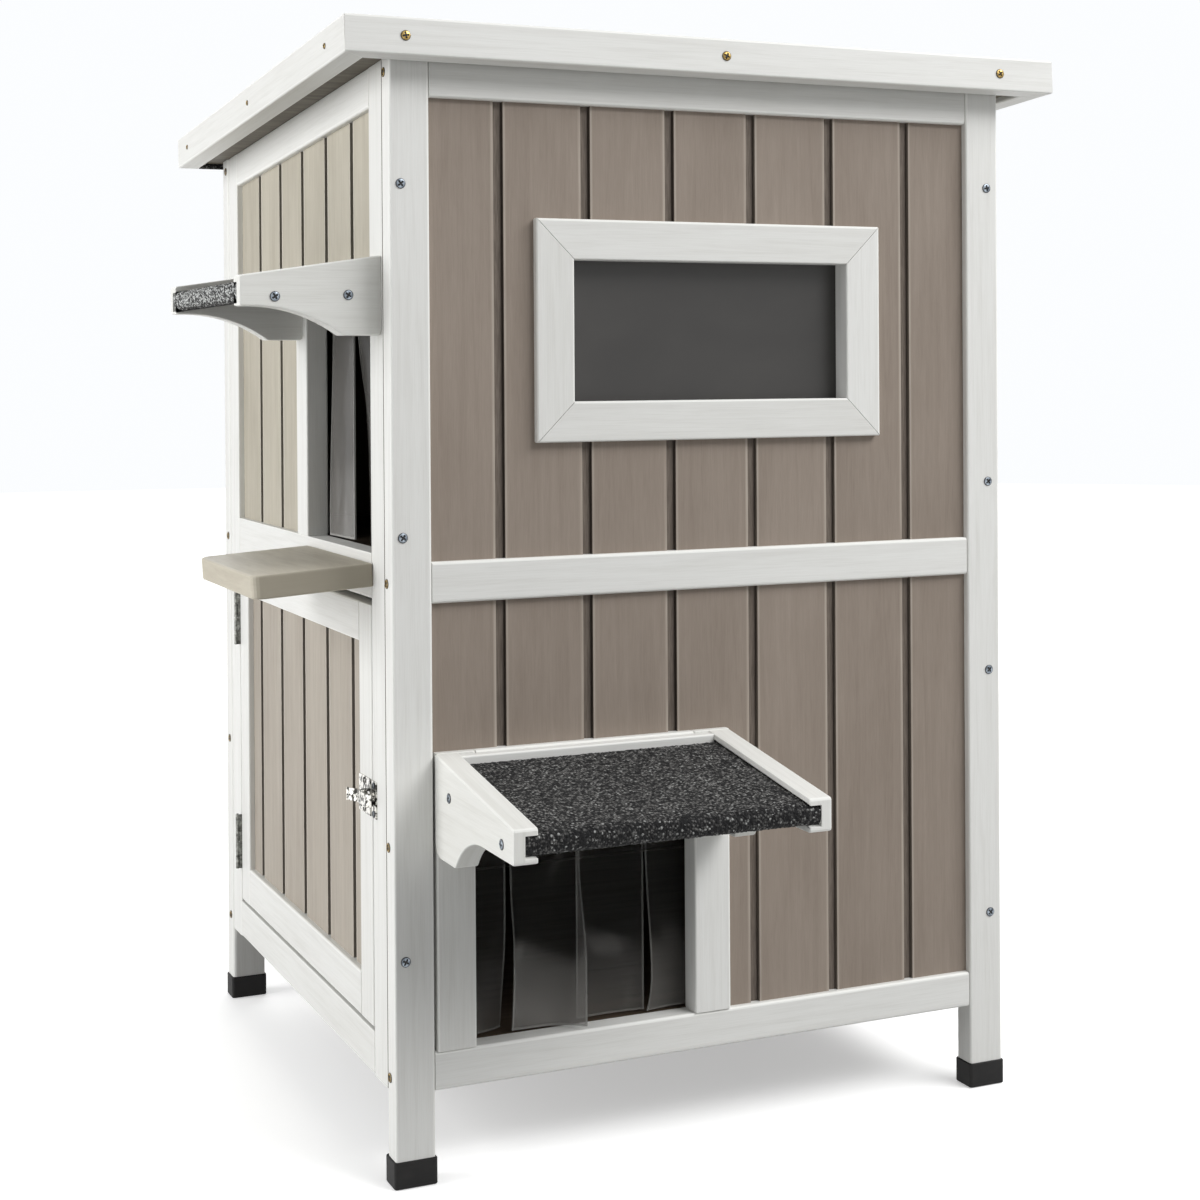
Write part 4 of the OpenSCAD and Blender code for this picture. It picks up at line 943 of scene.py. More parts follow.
@dataclass
class Carcass(Assembly):
    """Legs, caps, rails and stiles, with the boards and floors that they hold."""

    leg_low: float = 3.0
    leg_r: float = 1.8
    stile_side_r: float = 3.4
    cap_h: float = 20.0
    cap_wall: float = 1.4
    cap_r: float = 2.4
    cap_lip: float = 0.9
    hem: float = 0.1
    ledge_h: float = 1.2

    def legs(self) -> None:
        """Four uprights, rounder beside their stiles, with tops cut to the roof's slope."""
        h = self.house
        right, back = h.width - h.leg_w, h.depth - h.leg_t
        places = (("front_left_leg", 0.0, 0.0, 3), ("front_right_leg", right, 0.0, 2),
                  ("back_left_leg", 0.0, back, 0), ("back_right_leg", right, back, 1))
        for seed, (name, x, y, inner) in enumerate(places, 11):
            radii = [self.stile_side_r if k == inner else self.leg_r for k in range(4)]
            self.paint(name, [bar((x, y, self.leg_low), (x + h.leg_w, y + h.leg_t, 0.0), Axis.Z,
                                  radii, 0.2, high_end=h.cut)], seed)

    def caps(self) -> None:
        """Four rubber cups with rounded corners and a soft upper lip."""
        h, w = self.house, self.cap_wall
        shapes = [bar((x - w, y - w, 0.0), (x + h.leg_w + w, y + h.leg_t + w, self.cap_h),
                      Axis.Z, self.cap_r, self.cap_lip)
                  for x in (0.0, h.width - h.leg_w) for y in (0.0, h.depth - h.leg_t)]
        build_piece("moulded_foot_caps", shapes, self.looks.rubber, "house",
                    ["foot_caps"])

    def end_rails(self, y: float, front: bool) -> list[Shape]:
        """Three rails of the front or back wall.

        Args:
            y: the wall's lower side, front to back.
            front: whether the outer face looks to the front.

        Returns:
            The bottom, middle and top rails, their outer edges rounded.
        """
        h = self.house
        x0, x1, back = h.leg_w + h.seam, h.width - h.leg_w - h.seam, y + h.rail_t
        soft = (2.6, 0.8, 0.8, 2.2) if front else (0.8, 2.6, 2.2, 0.8)
        low = float(h.under(0.0 if front else h.depth)) - h.top_h
        crown = [(y, low), (back, low), (back, float(h.under(back))), (y, float(h.under(y)))]
        return [bar((x0, y, z), (x1, back, z + tall), Axis.X, soft)
                for z, tall in ((h.bottom, h.bottom_h), (h.middle, h.middle_h))] + \
            [prism(crown, x0, x1, Axis.X, soft)]

    def side_rails(self) -> list[Shape]:
        """Three rails of the left wall, the top one under the slope."""
        h = self.house
        y0, y1 = h.stile_ends()
        soft = (2.2, 0.8, 0.8, 2.2)
        lean = h.top_h / math.cos(h.slope)
        out, back = h.recess, h.recess + h.rail_t
        rails = [bar((out, y0 + h.seam, z), (back, y1 - h.seam, z + tall), Axis.Y, soft)
                 for z, tall in ((h.bottom, h.side_bottom_h), (h.middle, h.side_middle_h))]
        top = bar((out, y0 + h.seam, 0.0), (back, y1 - h.seam, h.top_h), Axis.Y, soft)
        top.points[:, 2] = h.under(top.points[:, 1]) - lean + \
            top.points[:, 2] * lean / h.top_h
        return rails + [top]

    def side_stiles(self) -> list[Shape]:
        """The two stiles of the left wall."""
        h = self.house
        y0, y1 = h.stile_ends()
        out, back = h.recess, h.recess + h.rail_t
        return [bar((out, h.leg_t + h.joint, h.bottom), (back, y0, 0), Axis.Z,
                    (0.7, 1.3, 1.3, 1.3), 0.3, high_end=h.cut),
                bar((out, y1, h.bottom), (back, h.depth - h.leg_t - h.seam, 0), Axis.Z, 1.3,
                    0.3, high_end=h.cut)]

    def joints(self) -> list[Shape]:
        """The dark strip in the joint between the front left leg and its stile: painted shade in
        the gap.
        """
        h = self.house
        return [bar((h.recess + self.hem, h.leg_t, h.bottom + h.seam),
                    (h.recess + h.rail_t, h.leg_t + h.joint, 0.0), Axis.Z, self.hem, self.hem,
                    high_end=lambda a, b: h.under(b) - h.seam)]

    def ledge_shade_strips(self) -> list[Shape]:
        """Low dark strips on each inner ledge between the floors and the back and right boards:
        painted shade over the white rail tops.
        """
        h = self.house
        y0, y1 = h.stile_ends()
        inner = h.boards_at + h.boards_t + self.hem
        made = []
        for low in (h.bottom + h.bottom_h, h.middle + h.middle_h):
            high = low + self.ledge_h
            made += [bar((h.leg_w + h.seam, h.depth - h.leg_t, low),
                         (h.width - h.leg_w - h.seam, h.depth - inner, high), Axis.X,
                         2 * self.hem, self.hem),
                     bar((h.width - h.recess - h.rail_t, y0 + h.seam, low),
                         (h.width - inner, y1 - h.seam, high), Axis.Y, 2 * self.hem, self.hem)]
        return made

    def flipped(self, shapes: Sequence[Shape]) -> list[Shape]:
        """The same members on the right wall: x is mirrored and each face turned over.

        Args:
            shapes: members of the left wall.

        Returns:
            New shapes with x taken from the house's width.
        """
        made = []
        for s in shapes:
            points = s.points * np.array([-1.0, 1.0, 1.0]) + np.array([self.house.width, 0, 0])
            sides = s.grain[:len(s.quads) * 4].reshape(-1, 4, 2)[:, ::-1].reshape(-1, 2)
            made.append(Shape(points, s.quads[:, ::-1], [c[::-1] for c in s.caps],
                              np.concatenate([sides, s.grain[len(s.quads) * 4:]]), s.edges))
        return made

    def build(self) -> None:
        """Builds the frame of the house and finishes its boards and floors."""
        h, looks = self.house, self.looks
        self.legs()
        self.caps()
        rails, stiles = self.side_rails(), self.side_stiles()
        members = (("front_rails", self.end_rails(h.recess, True)),
                   ("back_rails", self.end_rails(h.depth - h.recess - h.rail_t, False)),
                   ("left_rails", rails), ("left_stiles", stiles),
                   ("right_rails", self.flipped(rails)), ("right_stiles", self.flipped(stiles)))
        for seed, (name, shapes) in enumerate(members, 3):
            self.paint(name, shapes, seed)
        # Dark strips that paint shade into each leg gap and onto each inner ledge top.
        strips = self.joints() + self.flipped(self.joints()) + self.ledge_shade_strips()
        build_piece("painted_shade_strips", strips, looks.fir, "house", [])
        dress(["front_upper_boards", "front_lower_boards"], looks.front_boards)
        dress(["back_boards"], looks.back_boards)
        dress(["left_boards"], looks.left_boards)
        dress(["right_boards"], looks.right_boards)
        dress(["upper_floor", "lower_floor", "floor_battens"], looks.fir)


@dataclass
class Window(Assembly):
    """A mitred frame whose lip lies on the boards, beads and a dark pane."""

    left: float = 116.5
    width: float = 303.0
    low: float = 549.0
    height: float = 171.0
    member: float = 31.0
    lap: float = 10.0
    front: float = -0.5
    boards: float = 6.5
    back: float = 18.0
    bead: float = 8.0
    pane: float = 2.0
    mitre: float = 0.25

    def ring(self, section: Outline, radii: object) -> list[Shape]:
        """Four members with mitred ends.

        Args:
            section: corners as depth and distance in from the frame's outer edge,
                counterclockwise with the distance upwards.
            radii: their radii.

        Returns:
            The lower, upper, left and right members. An end's place is the distance in from
            the outer edge, which is what makes the mitre.
        """
        x0, x1 = self.left, self.left + self.width
        z0, z1 = self.low, self.low + self.height
        turned = np.asarray(radii)[::-1] if np.ndim(radii) else radii
        members = (([(y, z0 + d) for y, d in section], Axis.X, x0, x1, radii,
                    lambda a, b: b - z0),
                   ([(y, z1 - d) for y, d in section][::-1], Axis.X, x0, x1, turned,
                    lambda a, b: z1 - b),
                   ([(x0 + d, y) for y, d in section][::-1], Axis.Z, z0, z1, turned,
                    lambda a, b: a - x0),
                   ([(x1 - d, y) for y, d in section], Axis.Z, z0, z1, radii,
                    lambda a, b: x1 - a))
        return [prism(outline, lambda a, b: low + self.mitre + inwards(a, b),
                      lambda a, b: high - self.mitre - inwards(a, b), grain, soft,
                      (self.mitre, self.mitre))
                for outline, grain, low, high, soft, inwards in members]

    def build(self) -> None:
        """Builds the frame and beads and finishes the pane."""
        lip = [(self.front, 0.0), (self.boards, 0.0), (self.boards, self.lap),
               (self.back, self.lap), (self.back, self.member), (self.front, self.member)]
        self.paint("window_frame", self.ring(lip, (1.8, 0.3, 0.3, 0.3, 0.6, 1.4)), 21)
        start = self.back + self.pane
        bead = [(start, self.lap), (start + self.bead, self.lap),
                (start + self.bead, self.member), (start, self.member)]
        self.paint("window_beads", self.ring(bead, 0.8), 22)
        dress(["window_pane"], self.looks.pane)


@dataclass
class Doorways(Assembly):
    """Jambs and lintels of the two curtained doorways."""

    front_x: float = 64.3
    front_w: float = 183.5
    jamb: float = 31.0
    lintel: float = 29.5
    side_w: float = 179.0
    soft: float = 1.6

    def build(self) -> None:
        """Builds the four pieces of trim."""
        h, soft = self.house, self.soft
        x0, x1 = self.front_x, self.front_x + self.front_w
        low, top = h.bottom + h.bottom_h, h.front_top
        self.paint("front_jambs", [bar((a, 0.0, low), (b, h.leg_t, top), Axis.Z, soft)
                                   for a, b in ((x0 - self.jamb, x0), (x1, x1 + self.jamb))],
                   31, "front_doorway_jambs")
        self.paint("front_lintel", [bar((x0 + h.seam, 0.0, top - self.lintel),
                                        (x1 - h.seam, h.leg_t, top), Axis.X, soft)],
                   32, "front_doorway_lintel")
        y0 = h.stile_ends()[0]
        y1, low, top = y0 + self.side_w, h.middle + h.side_middle_h, h.side_top
        self.paint("side_jamb", [bar((h.recess, y1, low), (h.leg_t, y1 + self.jamb, top), Axis.Z,
                                     soft)], 33, "side_doorway_jamb")
        self.paint("side_lintel", [bar((h.recess, y0 + h.seam, top - self.lintel),
                                       (h.leg_t, y1 - h.seam, top), Axis.Y, soft)],
                   34, "side_doorway_lintel")


@dataclass
class SideDoor(Assembly):
    """The hinged door on the left: two stiles, two rails and its boards."""

    latch_gap: float = 2.5
    hinge_gap: float = 2.0
    below: float = 3.0
    above: float = 5.0
    latch_stile: float = 31.5
    hinge_stile: float = 29.0
    top_rail: float = 31.0
    bottom_rail: float = 34.0
    hinge_out: float = 4.0
    hinge_l: float = 51.0
    hinge_inset: float = 29.0
    leaf_w: float = 15.0
    leaf_t: float = 0.85
    knuckle: float = 1.5
    knuckle_gap: float = 0.3
    knuckle_root: float = 0.6
    pin: float = 0.9
    pin_more: float = 0.5
    pin_head: tuple[float, float] = (0.3, 1.0)
    hem: float = 0.1
    soft: float = 1.6

    def hinges(self, z0: float, z1: float) -> None:
        """Two butt hinges about the door's own axis.

        Knuckles, pin and its head are round rods on the axis. Tabs join the knuckles to the
        leaves, one on either face of the gap. The wall's half has the first and third
        knuckle and the pin, and the door's half the second and fourth.

        Args:
            z0: the door's lower end.
            z1: its upper end.
        """
        h = self.house
        x, y = h.recess - self.hinge_out, h.stile_ends()[1] - self.hinge_gap / 2
        root, tip = x + self.knuckle + self.knuckle_root, x + self.hinge_out + self.leaf_w
        each = (self.hinge_l - 3 * self.knuckle_gap) / 4
        rod = lambda r, a, b: bar((x - r, y - r, a), (x + r, y + r, b), Axis.Z, r * 0.99,
                                  r * 0.2)
        leaf = lambda a, b, low, z, tall: bar((a, low, z), (b, low + self.leaf_t, z + tall),
                                              Axis.Z, self.hem, self.hem)
        lows = {"house": y + self.hinge_gap / 2 - self.leaf_t, "door": y - self.hinge_gap / 2}
        halves: dict[str, list[Shape]] = {"house": [], "door": []}
        for z in (z0 + self.hinge_inset, z1 - self.hinge_inset - self.hinge_l):
            for first, (side, low) in enumerate(lows.items()):
                halves[side].append(leaf(root, tip, low, z, self.hinge_l))
                for k in (first, first + 2):
                    a = z + k * (each + self.knuckle_gap)
                    halves[side] += [rod(self.knuckle, a, a + each), leaf(x, root, low, a, each)]
            top = z + self.hinge_l
            low, high = self.pin_head
            halves["house"] += [rod(self.pin, z, top + self.pin_more),
                                rod(self.pin + self.pin_more, top + low, top + high)]
        for side, name, node in (("house", "plated_wall_hinge_halves", "door_hinge_wall_leaves"),
                                 ("door", "plated_door_hinge_halves", "door_hinge_door_leaves")):
            build_piece(name, halves[side], self.looks.steel, side, [node])

    def build(self) -> None:
        """Builds the door's frame and hinges, on the door's own body."""
        h, soft = self.house, self.soft
        start, end = h.stile_ends()
        y0, y1 = start + self.latch_gap, end - self.hinge_gap
        z0, z1 = h.bottom + h.side_bottom_h + self.below, h.middle - self.above
        out, back = h.recess, h.recess + h.rail_t
        self.hinges(z0, z1)
        self.paint("door_stiles", [bar((out, a, z0), (back, b, z1), Axis.Z, soft, 1.0) for a, b in
                                   ((y0, y0 + self.latch_stile), (y1 - self.hinge_stile, y1))],
                   41, body="door")
        a, b = y0 + self.latch_stile + h.seam, y1 - self.hinge_stile - h.seam
        self.paint("door_rails", [bar((out, a, low), (back, b, high), Axis.Y, soft) for low, high
                                  in ((z0, z0 + self.bottom_rail), (z1 - self.top_rail, z1))],
                   42, body="door")
        dress(["door_boards"], self.looks.door_boards)


@dataclass
class Awning:
    """One felted awning board between two shaped brackets."""

    name: str
    top: float
    reach: float
    fall: float
    nose: float
    heel_h: float
    heel_l: float
    cove: float
    low: float
    high: float
    wall: float
    grain: Axis
    bracket: float = 18.0
    slot: float = 9.5
    cover: float = 5.0
    slot_h: float = 15.5
    batten: float = 10.0
    heel_r: float = 10.0
    board: float = 12.0
    felt: float = 1.5
    granule: float = 1.45
    granule_h: float = 0.95
    play: float = 0.1
    behind: float = 0.3
    short: float = 2.0
    lift: float = 0.05
    arris: float = 2.0
    slot_r: float = 0.3
    screws: Sequence[tuple[float, float]] = ()

    def underside(self) -> np.ndarray:
        """The bracket's lower line from the wall outwards.

        A flat heel runs into a cove, an arc of a circle whose top meets the straight nose.
        """
        base = self.top - self.heel_h
        drop = self.heel_h - self.fall - self.nose
        flat = math.sqrt(self.cove ** 2 - (self.cove - drop) ** 2)
        start = math.pi - math.asin((self.cove - drop) / self.cove)
        t = np.linspace(start, math.pi / 2, 12)
        arc = np.column_stack([self.heel_l + flat + self.cove * np.cos(t),
                               base + drop - self.cove + self.cove * np.sin(t)])
        return np.concatenate([[(0.0, base)], arc, [(self.reach, base + drop)]])

    def outline(self, slotted: bool) -> tuple[np.ndarray, np.ndarray]:
        """The bracket's outline, with or without the slot for its board.

        Args:
            slotted: whether the slot opens at the nose.

        Returns:
            Corners as distance from the wall and height, and their radii.
        """
        steep = self.fall / self.reach
        under = self.underside()
        radii = [self.heel_r, 3.0] + [0.2] * (len(under) - 3) + [self.arris]
        points = list(map(tuple, under))
        if slotted:
            for d, h in ((self.reach, 1), (self.batten, 1), (self.batten, 0), (self.reach, 0)):
                points.append((d, self.top - self.cover - d * steep - h * self.slot_h))
                radii.append(self.slot_r)
        points += [(self.reach, self.top - self.fall), (0.0, self.top)]
        radii += [self.arris, 1.4]
        return np.array(points), np.array(radii)

    def member(self, slotted: bool, low: float, high: float,
               rims: tuple[float, float]) -> Shape:
        """One layer of a bracket, from low to high along the wall.

        On the front the distance runs to negative y and is the first cross axis; on the side
        it runs to negative x and is the second. Turning it over keeps the outline
        counterclockwise.

        Args:
            slotted: whether this layer has the board's slot.
            low: where it starts along the wall.
            high: where it ends.
            rims: the radii of its two ends.

        Returns:
            The layer.
        """
        points, radii = self.outline(slotted)
        if self.grain is Axis.X:
            section = np.column_stack([self.wall - points[:, 0], points[:, 1]])[::-1]
            return prism(section, low, high, Axis.X, radii[::-1], rims, 2, True)
        section = np.column_stack([points[:, 1], self.wall - points[:, 0]])
        return prism(section, low, high, Axis.Y, radii, rims, 2, True)

    def brackets(self) -> list[Shape]:
        """Both brackets, each of a whole outer layer and a slotted inner layer."""
        solid = self.bracket - self.slot
        a, b = self.low, self.high
        return [self.member(False, a, a + solid, (1.2, 0.0)),
                self.member(True, a + solid, a + self.bracket, (0.0, 0.8)),
                self.member(True, b - self.bracket, b - solid, (0.8, 0.0)),
                self.member(False, b - solid, b, (0.0, 1.2))]

    def felt_path(self) -> tuple[np.ndarray, np.ndarray, np.ndarray]:
        """The felt's outer line from the wall over the board, round its nose and back.

        Along the board it lies at the board's slope; the nose is two quarter circles of a
        third of the thickness with a straight piece between them. The line is worked out
        with u along the slope and v above the board's underside, and then turned.

        Returns:
            Points as distance and height, their outward normals, and how far each lies on
            the nose, from 0 to 1.
        """
        lean = math.atan(self.fall / self.reach)
        start = self.batten + self.behind
        deep = self.board + 2 * self.felt
        r = deep / 3
        run = (self.reach - self.short - start) / math.cos(lean) - \
            self.slot_h * math.sin(lean) / 2
        top = np.arange(0.0, run - r, self.granule)
        t = np.linspace(0, math.pi / 2, 6)[:-1]
        face = np.linspace(0, 1, 5)[:-1]
        under = np.linspace(run - r, 0, 8)
        over, flat = np.ones(len(top)), np.ones(len(face))
        u = np.concatenate([top, run - r + r * np.sin(t), run * flat, run - r + r * np.cos(t),
                            under])
        v = np.concatenate([deep * over, deep - r + r * np.cos(t),
                            deep - r - (deep - 2 * r) * face, r - r * np.sin(t), 0 * under])
        nu = np.concatenate([0 * over, np.sin(t), flat, np.cos(t), 0 * under])
        nv = np.concatenate([over, np.cos(t), 0 * flat, -np.sin(t), 0 * under - 1])
        c, s = math.cos(lean), math.sin(lean)
        x0 = start + self.slot_h * s / 2 * c
        z0 = self.top - self.cover - self.slot_h - start * s / c - self.slot_h * s / 2 * s + \
            self.lift
        points = np.stack([x0 + u * c + v * s, z0 - u * s + v * c], -1)
        normals = np.stack([nu * c + nv * s, nv * c - nu * s], -1)
        nose = np.clip((u - run + 2 * r) / r, 0, 1) * np.clip(v / r, 0, 1)
        return points, normals, nose

    def felt_sheet(self, seed: int) -> tuple[np.ndarray, np.ndarray, np.ndarray]:
        """The felt as a closed sheet with raised granules.

        Every point of the outer line is carried along the wall, and stands out by a random
        height to the power 1.5 wherever it isn't inside a slot. The inner surface is the same
        line moved in by the felt's thickness.

        Args:
            seed: picks the granules.

        Returns:
            Points in the house's millimetres, quads, and the nose mark of every point.
        """
        line, normal, nose = self.felt_path()
        lap = self.bracket - self.slot
        low, high = self.low + lap + self.play, self.high - lap - self.play
        along = np.arange(low, high + self.granule, self.granule).clip(None, high)
        rows, cols = len(line), len(along)
        rise = np.random.default_rng(seed).random((rows, cols)) ** 1.5 * self.granule_h
        open_side = (along > self.low + self.bracket) & (along < self.high - self.bracket)
        rise = np.where(open_side, rise, 0.0) * (0.6 + 0.4 * nose[:, None])
        outer = line[:, None] + normal[:, None] * rise[..., None]
        inner = np.broadcast_to((line - normal * self.felt)[:, None], outer.shape)
        table = np.stack([outer, inner])
        run = np.broadcast_to(along, (2, rows, cols))
        if self.grain is Axis.X:
            points = np.stack([run, self.wall - table[..., 0], table[..., 1]], -1)
        else:
            points = np.stack([self.wall - table[..., 0], run, table[..., 1]], -1)
        quads = sheet_quads(rows, cols)
        if self.grain is Axis.Y:
            quads = quads[:, ::-1]
        mark = np.broadcast_to(nose[:, None], (2, rows, cols))
        return points.reshape(-1, 3), quads, mark.reshape(-1)

    def batten_bar(self) -> Shape:
        """The batten along the wall, behind the board."""
        low_z = self.top - self.cover - self.slot_h
        high_z = self.top - self.batten * self.fall / self.reach
        a, b = self.low + self.bracket, self.high - self.bracket
        if self.grain is Axis.X:
            return bar((a, self.wall - self.batten, low_z), (b, self.wall, high_z), Axis.X)
        return bar((self.wall - self.batten, a, low_z), (self.wall, b, high_z), Axis.Y)


def make_awnings(house: House) -> tuple[Awning, Awning]:
    """The sizes of both awnings.

    Args:
        house: the shared sizes.

    Returns:
        The front and the side awning.
    """
    front = Awning("front", house.front_top, reach=160.0, fall=24.0, nose=24.5, heel_h=75.8,
                   heel_l=43.0, cove=67.6, low=32.0, high=278.15, wall=0.0, grain=Axis.X,
                   screws=((31.7, 27.0), (137.9, 38.0)))
    side = Awning("side", house.side_top, reach=107.6, fall=16.0, nose=22.5, heel_h=60.0,
                  heel_l=30.0, cove=115.0, low=24.0, high=261.0, wall=house.recess,
                  grain=Axis.Y, heel_r=3.0, screws=((25.7, 30.0), (81.3, 31.5)))
    return front, side


@dataclass
class Awnings(Assembly):
    """The front and the side awning."""

    # Below zero: painted shade on the front awning's felt nose.
    front_nose_shade: float = -0.6

    def build(self) -> None:
        """Builds brackets, battens and felt and finishes the boards."""
        front, side = make_awnings(self.house)
        for seed, awning in ((51, front), (52, side)):
            build_piece(f"painted_{awning.name}_brackets", awning.brackets(),
                        self.looks.rough_white, "house",
                        [f"{awning.name}_awning_brackets"], seed=seed)
        self.paint("awning_battens", [front.batten_bar(), side.batten_bar()], 53)
        dress(["awning_boards"], self.looks.fir)
        a, b = front.felt_sheet(91), side.felt_sheet(92)
        quads = np.concatenate([a[1], b[1] + len(a[0])])
        mesh = new_mesh("granule_awning_felts", np.concatenate([a[0], b[0]]), quads.tolist(),
                        self.looks.felt)
        # Painted shade on the front nose, painted light on the side nose.
        set_mark(mesh, "nose", np.concatenate([a[2] * self.front_nose_shade, b[2]]))
        give(mesh, "house", ["awning_felts"])


@dataclass
class Landing(Assembly):
    """The landing board under the side doorway, with two rounded corners."""

    front: float = 49.0
    width: float = 178.0
    reach: float = 93.0
    thick: float = 18.0
    top: float = 458.8
    fall: float = math.radians(3.7)
    corner: float = 10.0
    gap: float = 0.6

    def tilt(self, points: np.ndarray) -> np.ndarray:
        """Turns the board down by its fall about its upper edge at the wall.

        Args:
            points: places on the level board, x running out of the wall to negative.

        Returns:
            The same places in the house.
        """
        c, s = math.cos(self.fall), math.sin(self.fall)
        x, y, z = points.T
        return np.column_stack([x * c - z * s + self.house.recess, y + self.front,
                                x * s + z * c + self.top])

    def build(self) -> None:
        """Builds the board with an eased rim all round."""
        far = -self.reach / math.cos(self.fall)
        plan = [(far, 0.0), (-self.gap, 0.0), (-self.gap, self.width), (far, self.width)]
        board = prism(plan, -self.thick, 0.0, Axis.Z, (self.corner, 2.2, 2.2, self.corner),
                      (1.6, 1.8), 6, True)
        made = build_piece("stained_landing_board", [board], self.looks.khaki, "house",
                           ["landing_board"], self.tilt, seed=61)
        normals = np.empty(len(made.data.polygons) * 3, np.float32)
        made.data.polygons.foreach_get("normal", normals)
        set_mark(made.data, "end", np.clip((np.abs(normals[1::3]) - 0.4) / 0.5, 0, 1), "FACE")


@dataclass
class Strip:
    """One curtain strip, hung from a line under its clamp."""

    name: str
    node: str
    body: str
    start: float
    axis_z: float
    foot: float
    side: bool
    bow: float
    far: tuple[float, float, float] = (0.0, 0.0, 1.0)
    near: tuple[float, float, float, float] = (0.0, 0.3, 0.7, 0.3)
    layer: int = 0
    tone: float = 0.0
    # Strength of the painted reflection of the floor.
    haze: float = 1.0
    film: float = 0.03
    width: float = 57.5
    thick: float = 1.5
    plane: float = 20.3
    layer_gap: float = 3.2
    columns: int = 30
    rows: int = 64
    tuck: float = 1.0
    curl: float = 0.55
    draw: float = 0.12
    bend: tuple[float, float] = (0.6, -9.0)
    crease: float = math.radians(40)

    def stand_out(self, q: np.ndarray, v: np.ndarray) -> np.ndarray:
        """How far the strip stands out of its plane, with q across and v down, 0 to 1.

        It bows by bow 4 q (1 - q) v. Its far edge curls by far[0] times the square of the
        last part of q, growing smoothly from v = far[1] to far[2]. Its near edge curls by
        near[0] times the square of the first part of q, growing from near[1] to near[2] and
        falling to the share near[3] at the foot. Each curl takes up the share curl of the
        strip's width.

        Args:
            q: places across the strip.
            v: places down it.

        Returns:
            Distances in millimetres.
        """
        smooth = lambda t: np.clip(t, 0, 1) ** 2 * (3 - 2 * np.clip(t, 0, 1))
        out = self.bow * 4 * q * (1 - q) * v
        high, a, b = self.far
        part = np.clip((q - 1 + self.curl) / self.curl, 0, None) ** 2
        out = out + high * part * smooth((v - a) / (b - a))
        high, a, b, rest = self.near
        fall = 1 - (1 - rest) * np.clip((v - b) / (1 - b), 0, 1) ** 2
        bump = smooth((v - a) / (b - a)) * fall
        return out + high * np.clip(1 - q / self.curl, 0, None) ** 2 * bump

    def surface(self) -> tuple[np.ndarray, np.ndarray, np.ndarray]:
        """The strip as a closed thin sheet.

        A point stands out as stand_out gives and hangs at the square root of its length
        squared less that distance squared, so its length to the clamp stays the same. A far
        edge that stands out also draws in a little along the wall.

        Returns:
            Points in the wall's frame, quads and the grain of every point.
        """
        q, v = np.meshgrid(np.linspace(0, 1, self.columns + 1),
                           np.linspace(0, 1, self.rows + 1))
        top = self.axis_z + self.tuck
        out = self.stand_out(q, v)
        length = v * (top - self.foot)
        drop = np.sqrt(np.clip(length ** 2 - out ** 2, 0, None))
        y = self.plane + self.layer * self.layer_gap - out
        x = self.start + q * self.width - np.abs(out) * q * self.draw
        face = np.stack([x, y, top - drop], -1)
        back = face + np.array([0.0, self.thick, 0.0])
        grain = np.tile(np.stack([q, v], -1).reshape(-1, 2), (2, 1))
        return (np.concatenate([face.reshape(-1, 3), back.reshape(-1, 3)]),
                sheet_quads(self.rows + 1, self.columns + 1), grain)

    def build(self, material: Look) -> None:
        """Makes the sheet and hangs it, and gives it to no body.

        Args:
            material: the vinyl.
        """
        points, quads, grain = self.surface()
        if self.side:
            points = points[:, (1, 0, 2)]
            quads = quads[:, ::-1]
        mesh = new_mesh(self.name, points, quads.tolist(), material)
        set_grain(mesh, grain[quads.ravel()])
        for mark, value in (("tone", self.tone), ("haze", self.haze), ("film", self.film)):
            set_mark(mesh, mark, np.full(len(points), value))
        mesh.polygons.foreach_set("use_smooth", np.ones(len(quads), bool))
        mesh.set_sharp_from_angle(angle=self.crease)
        made = give(mesh, None, [self.node])
        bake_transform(made)


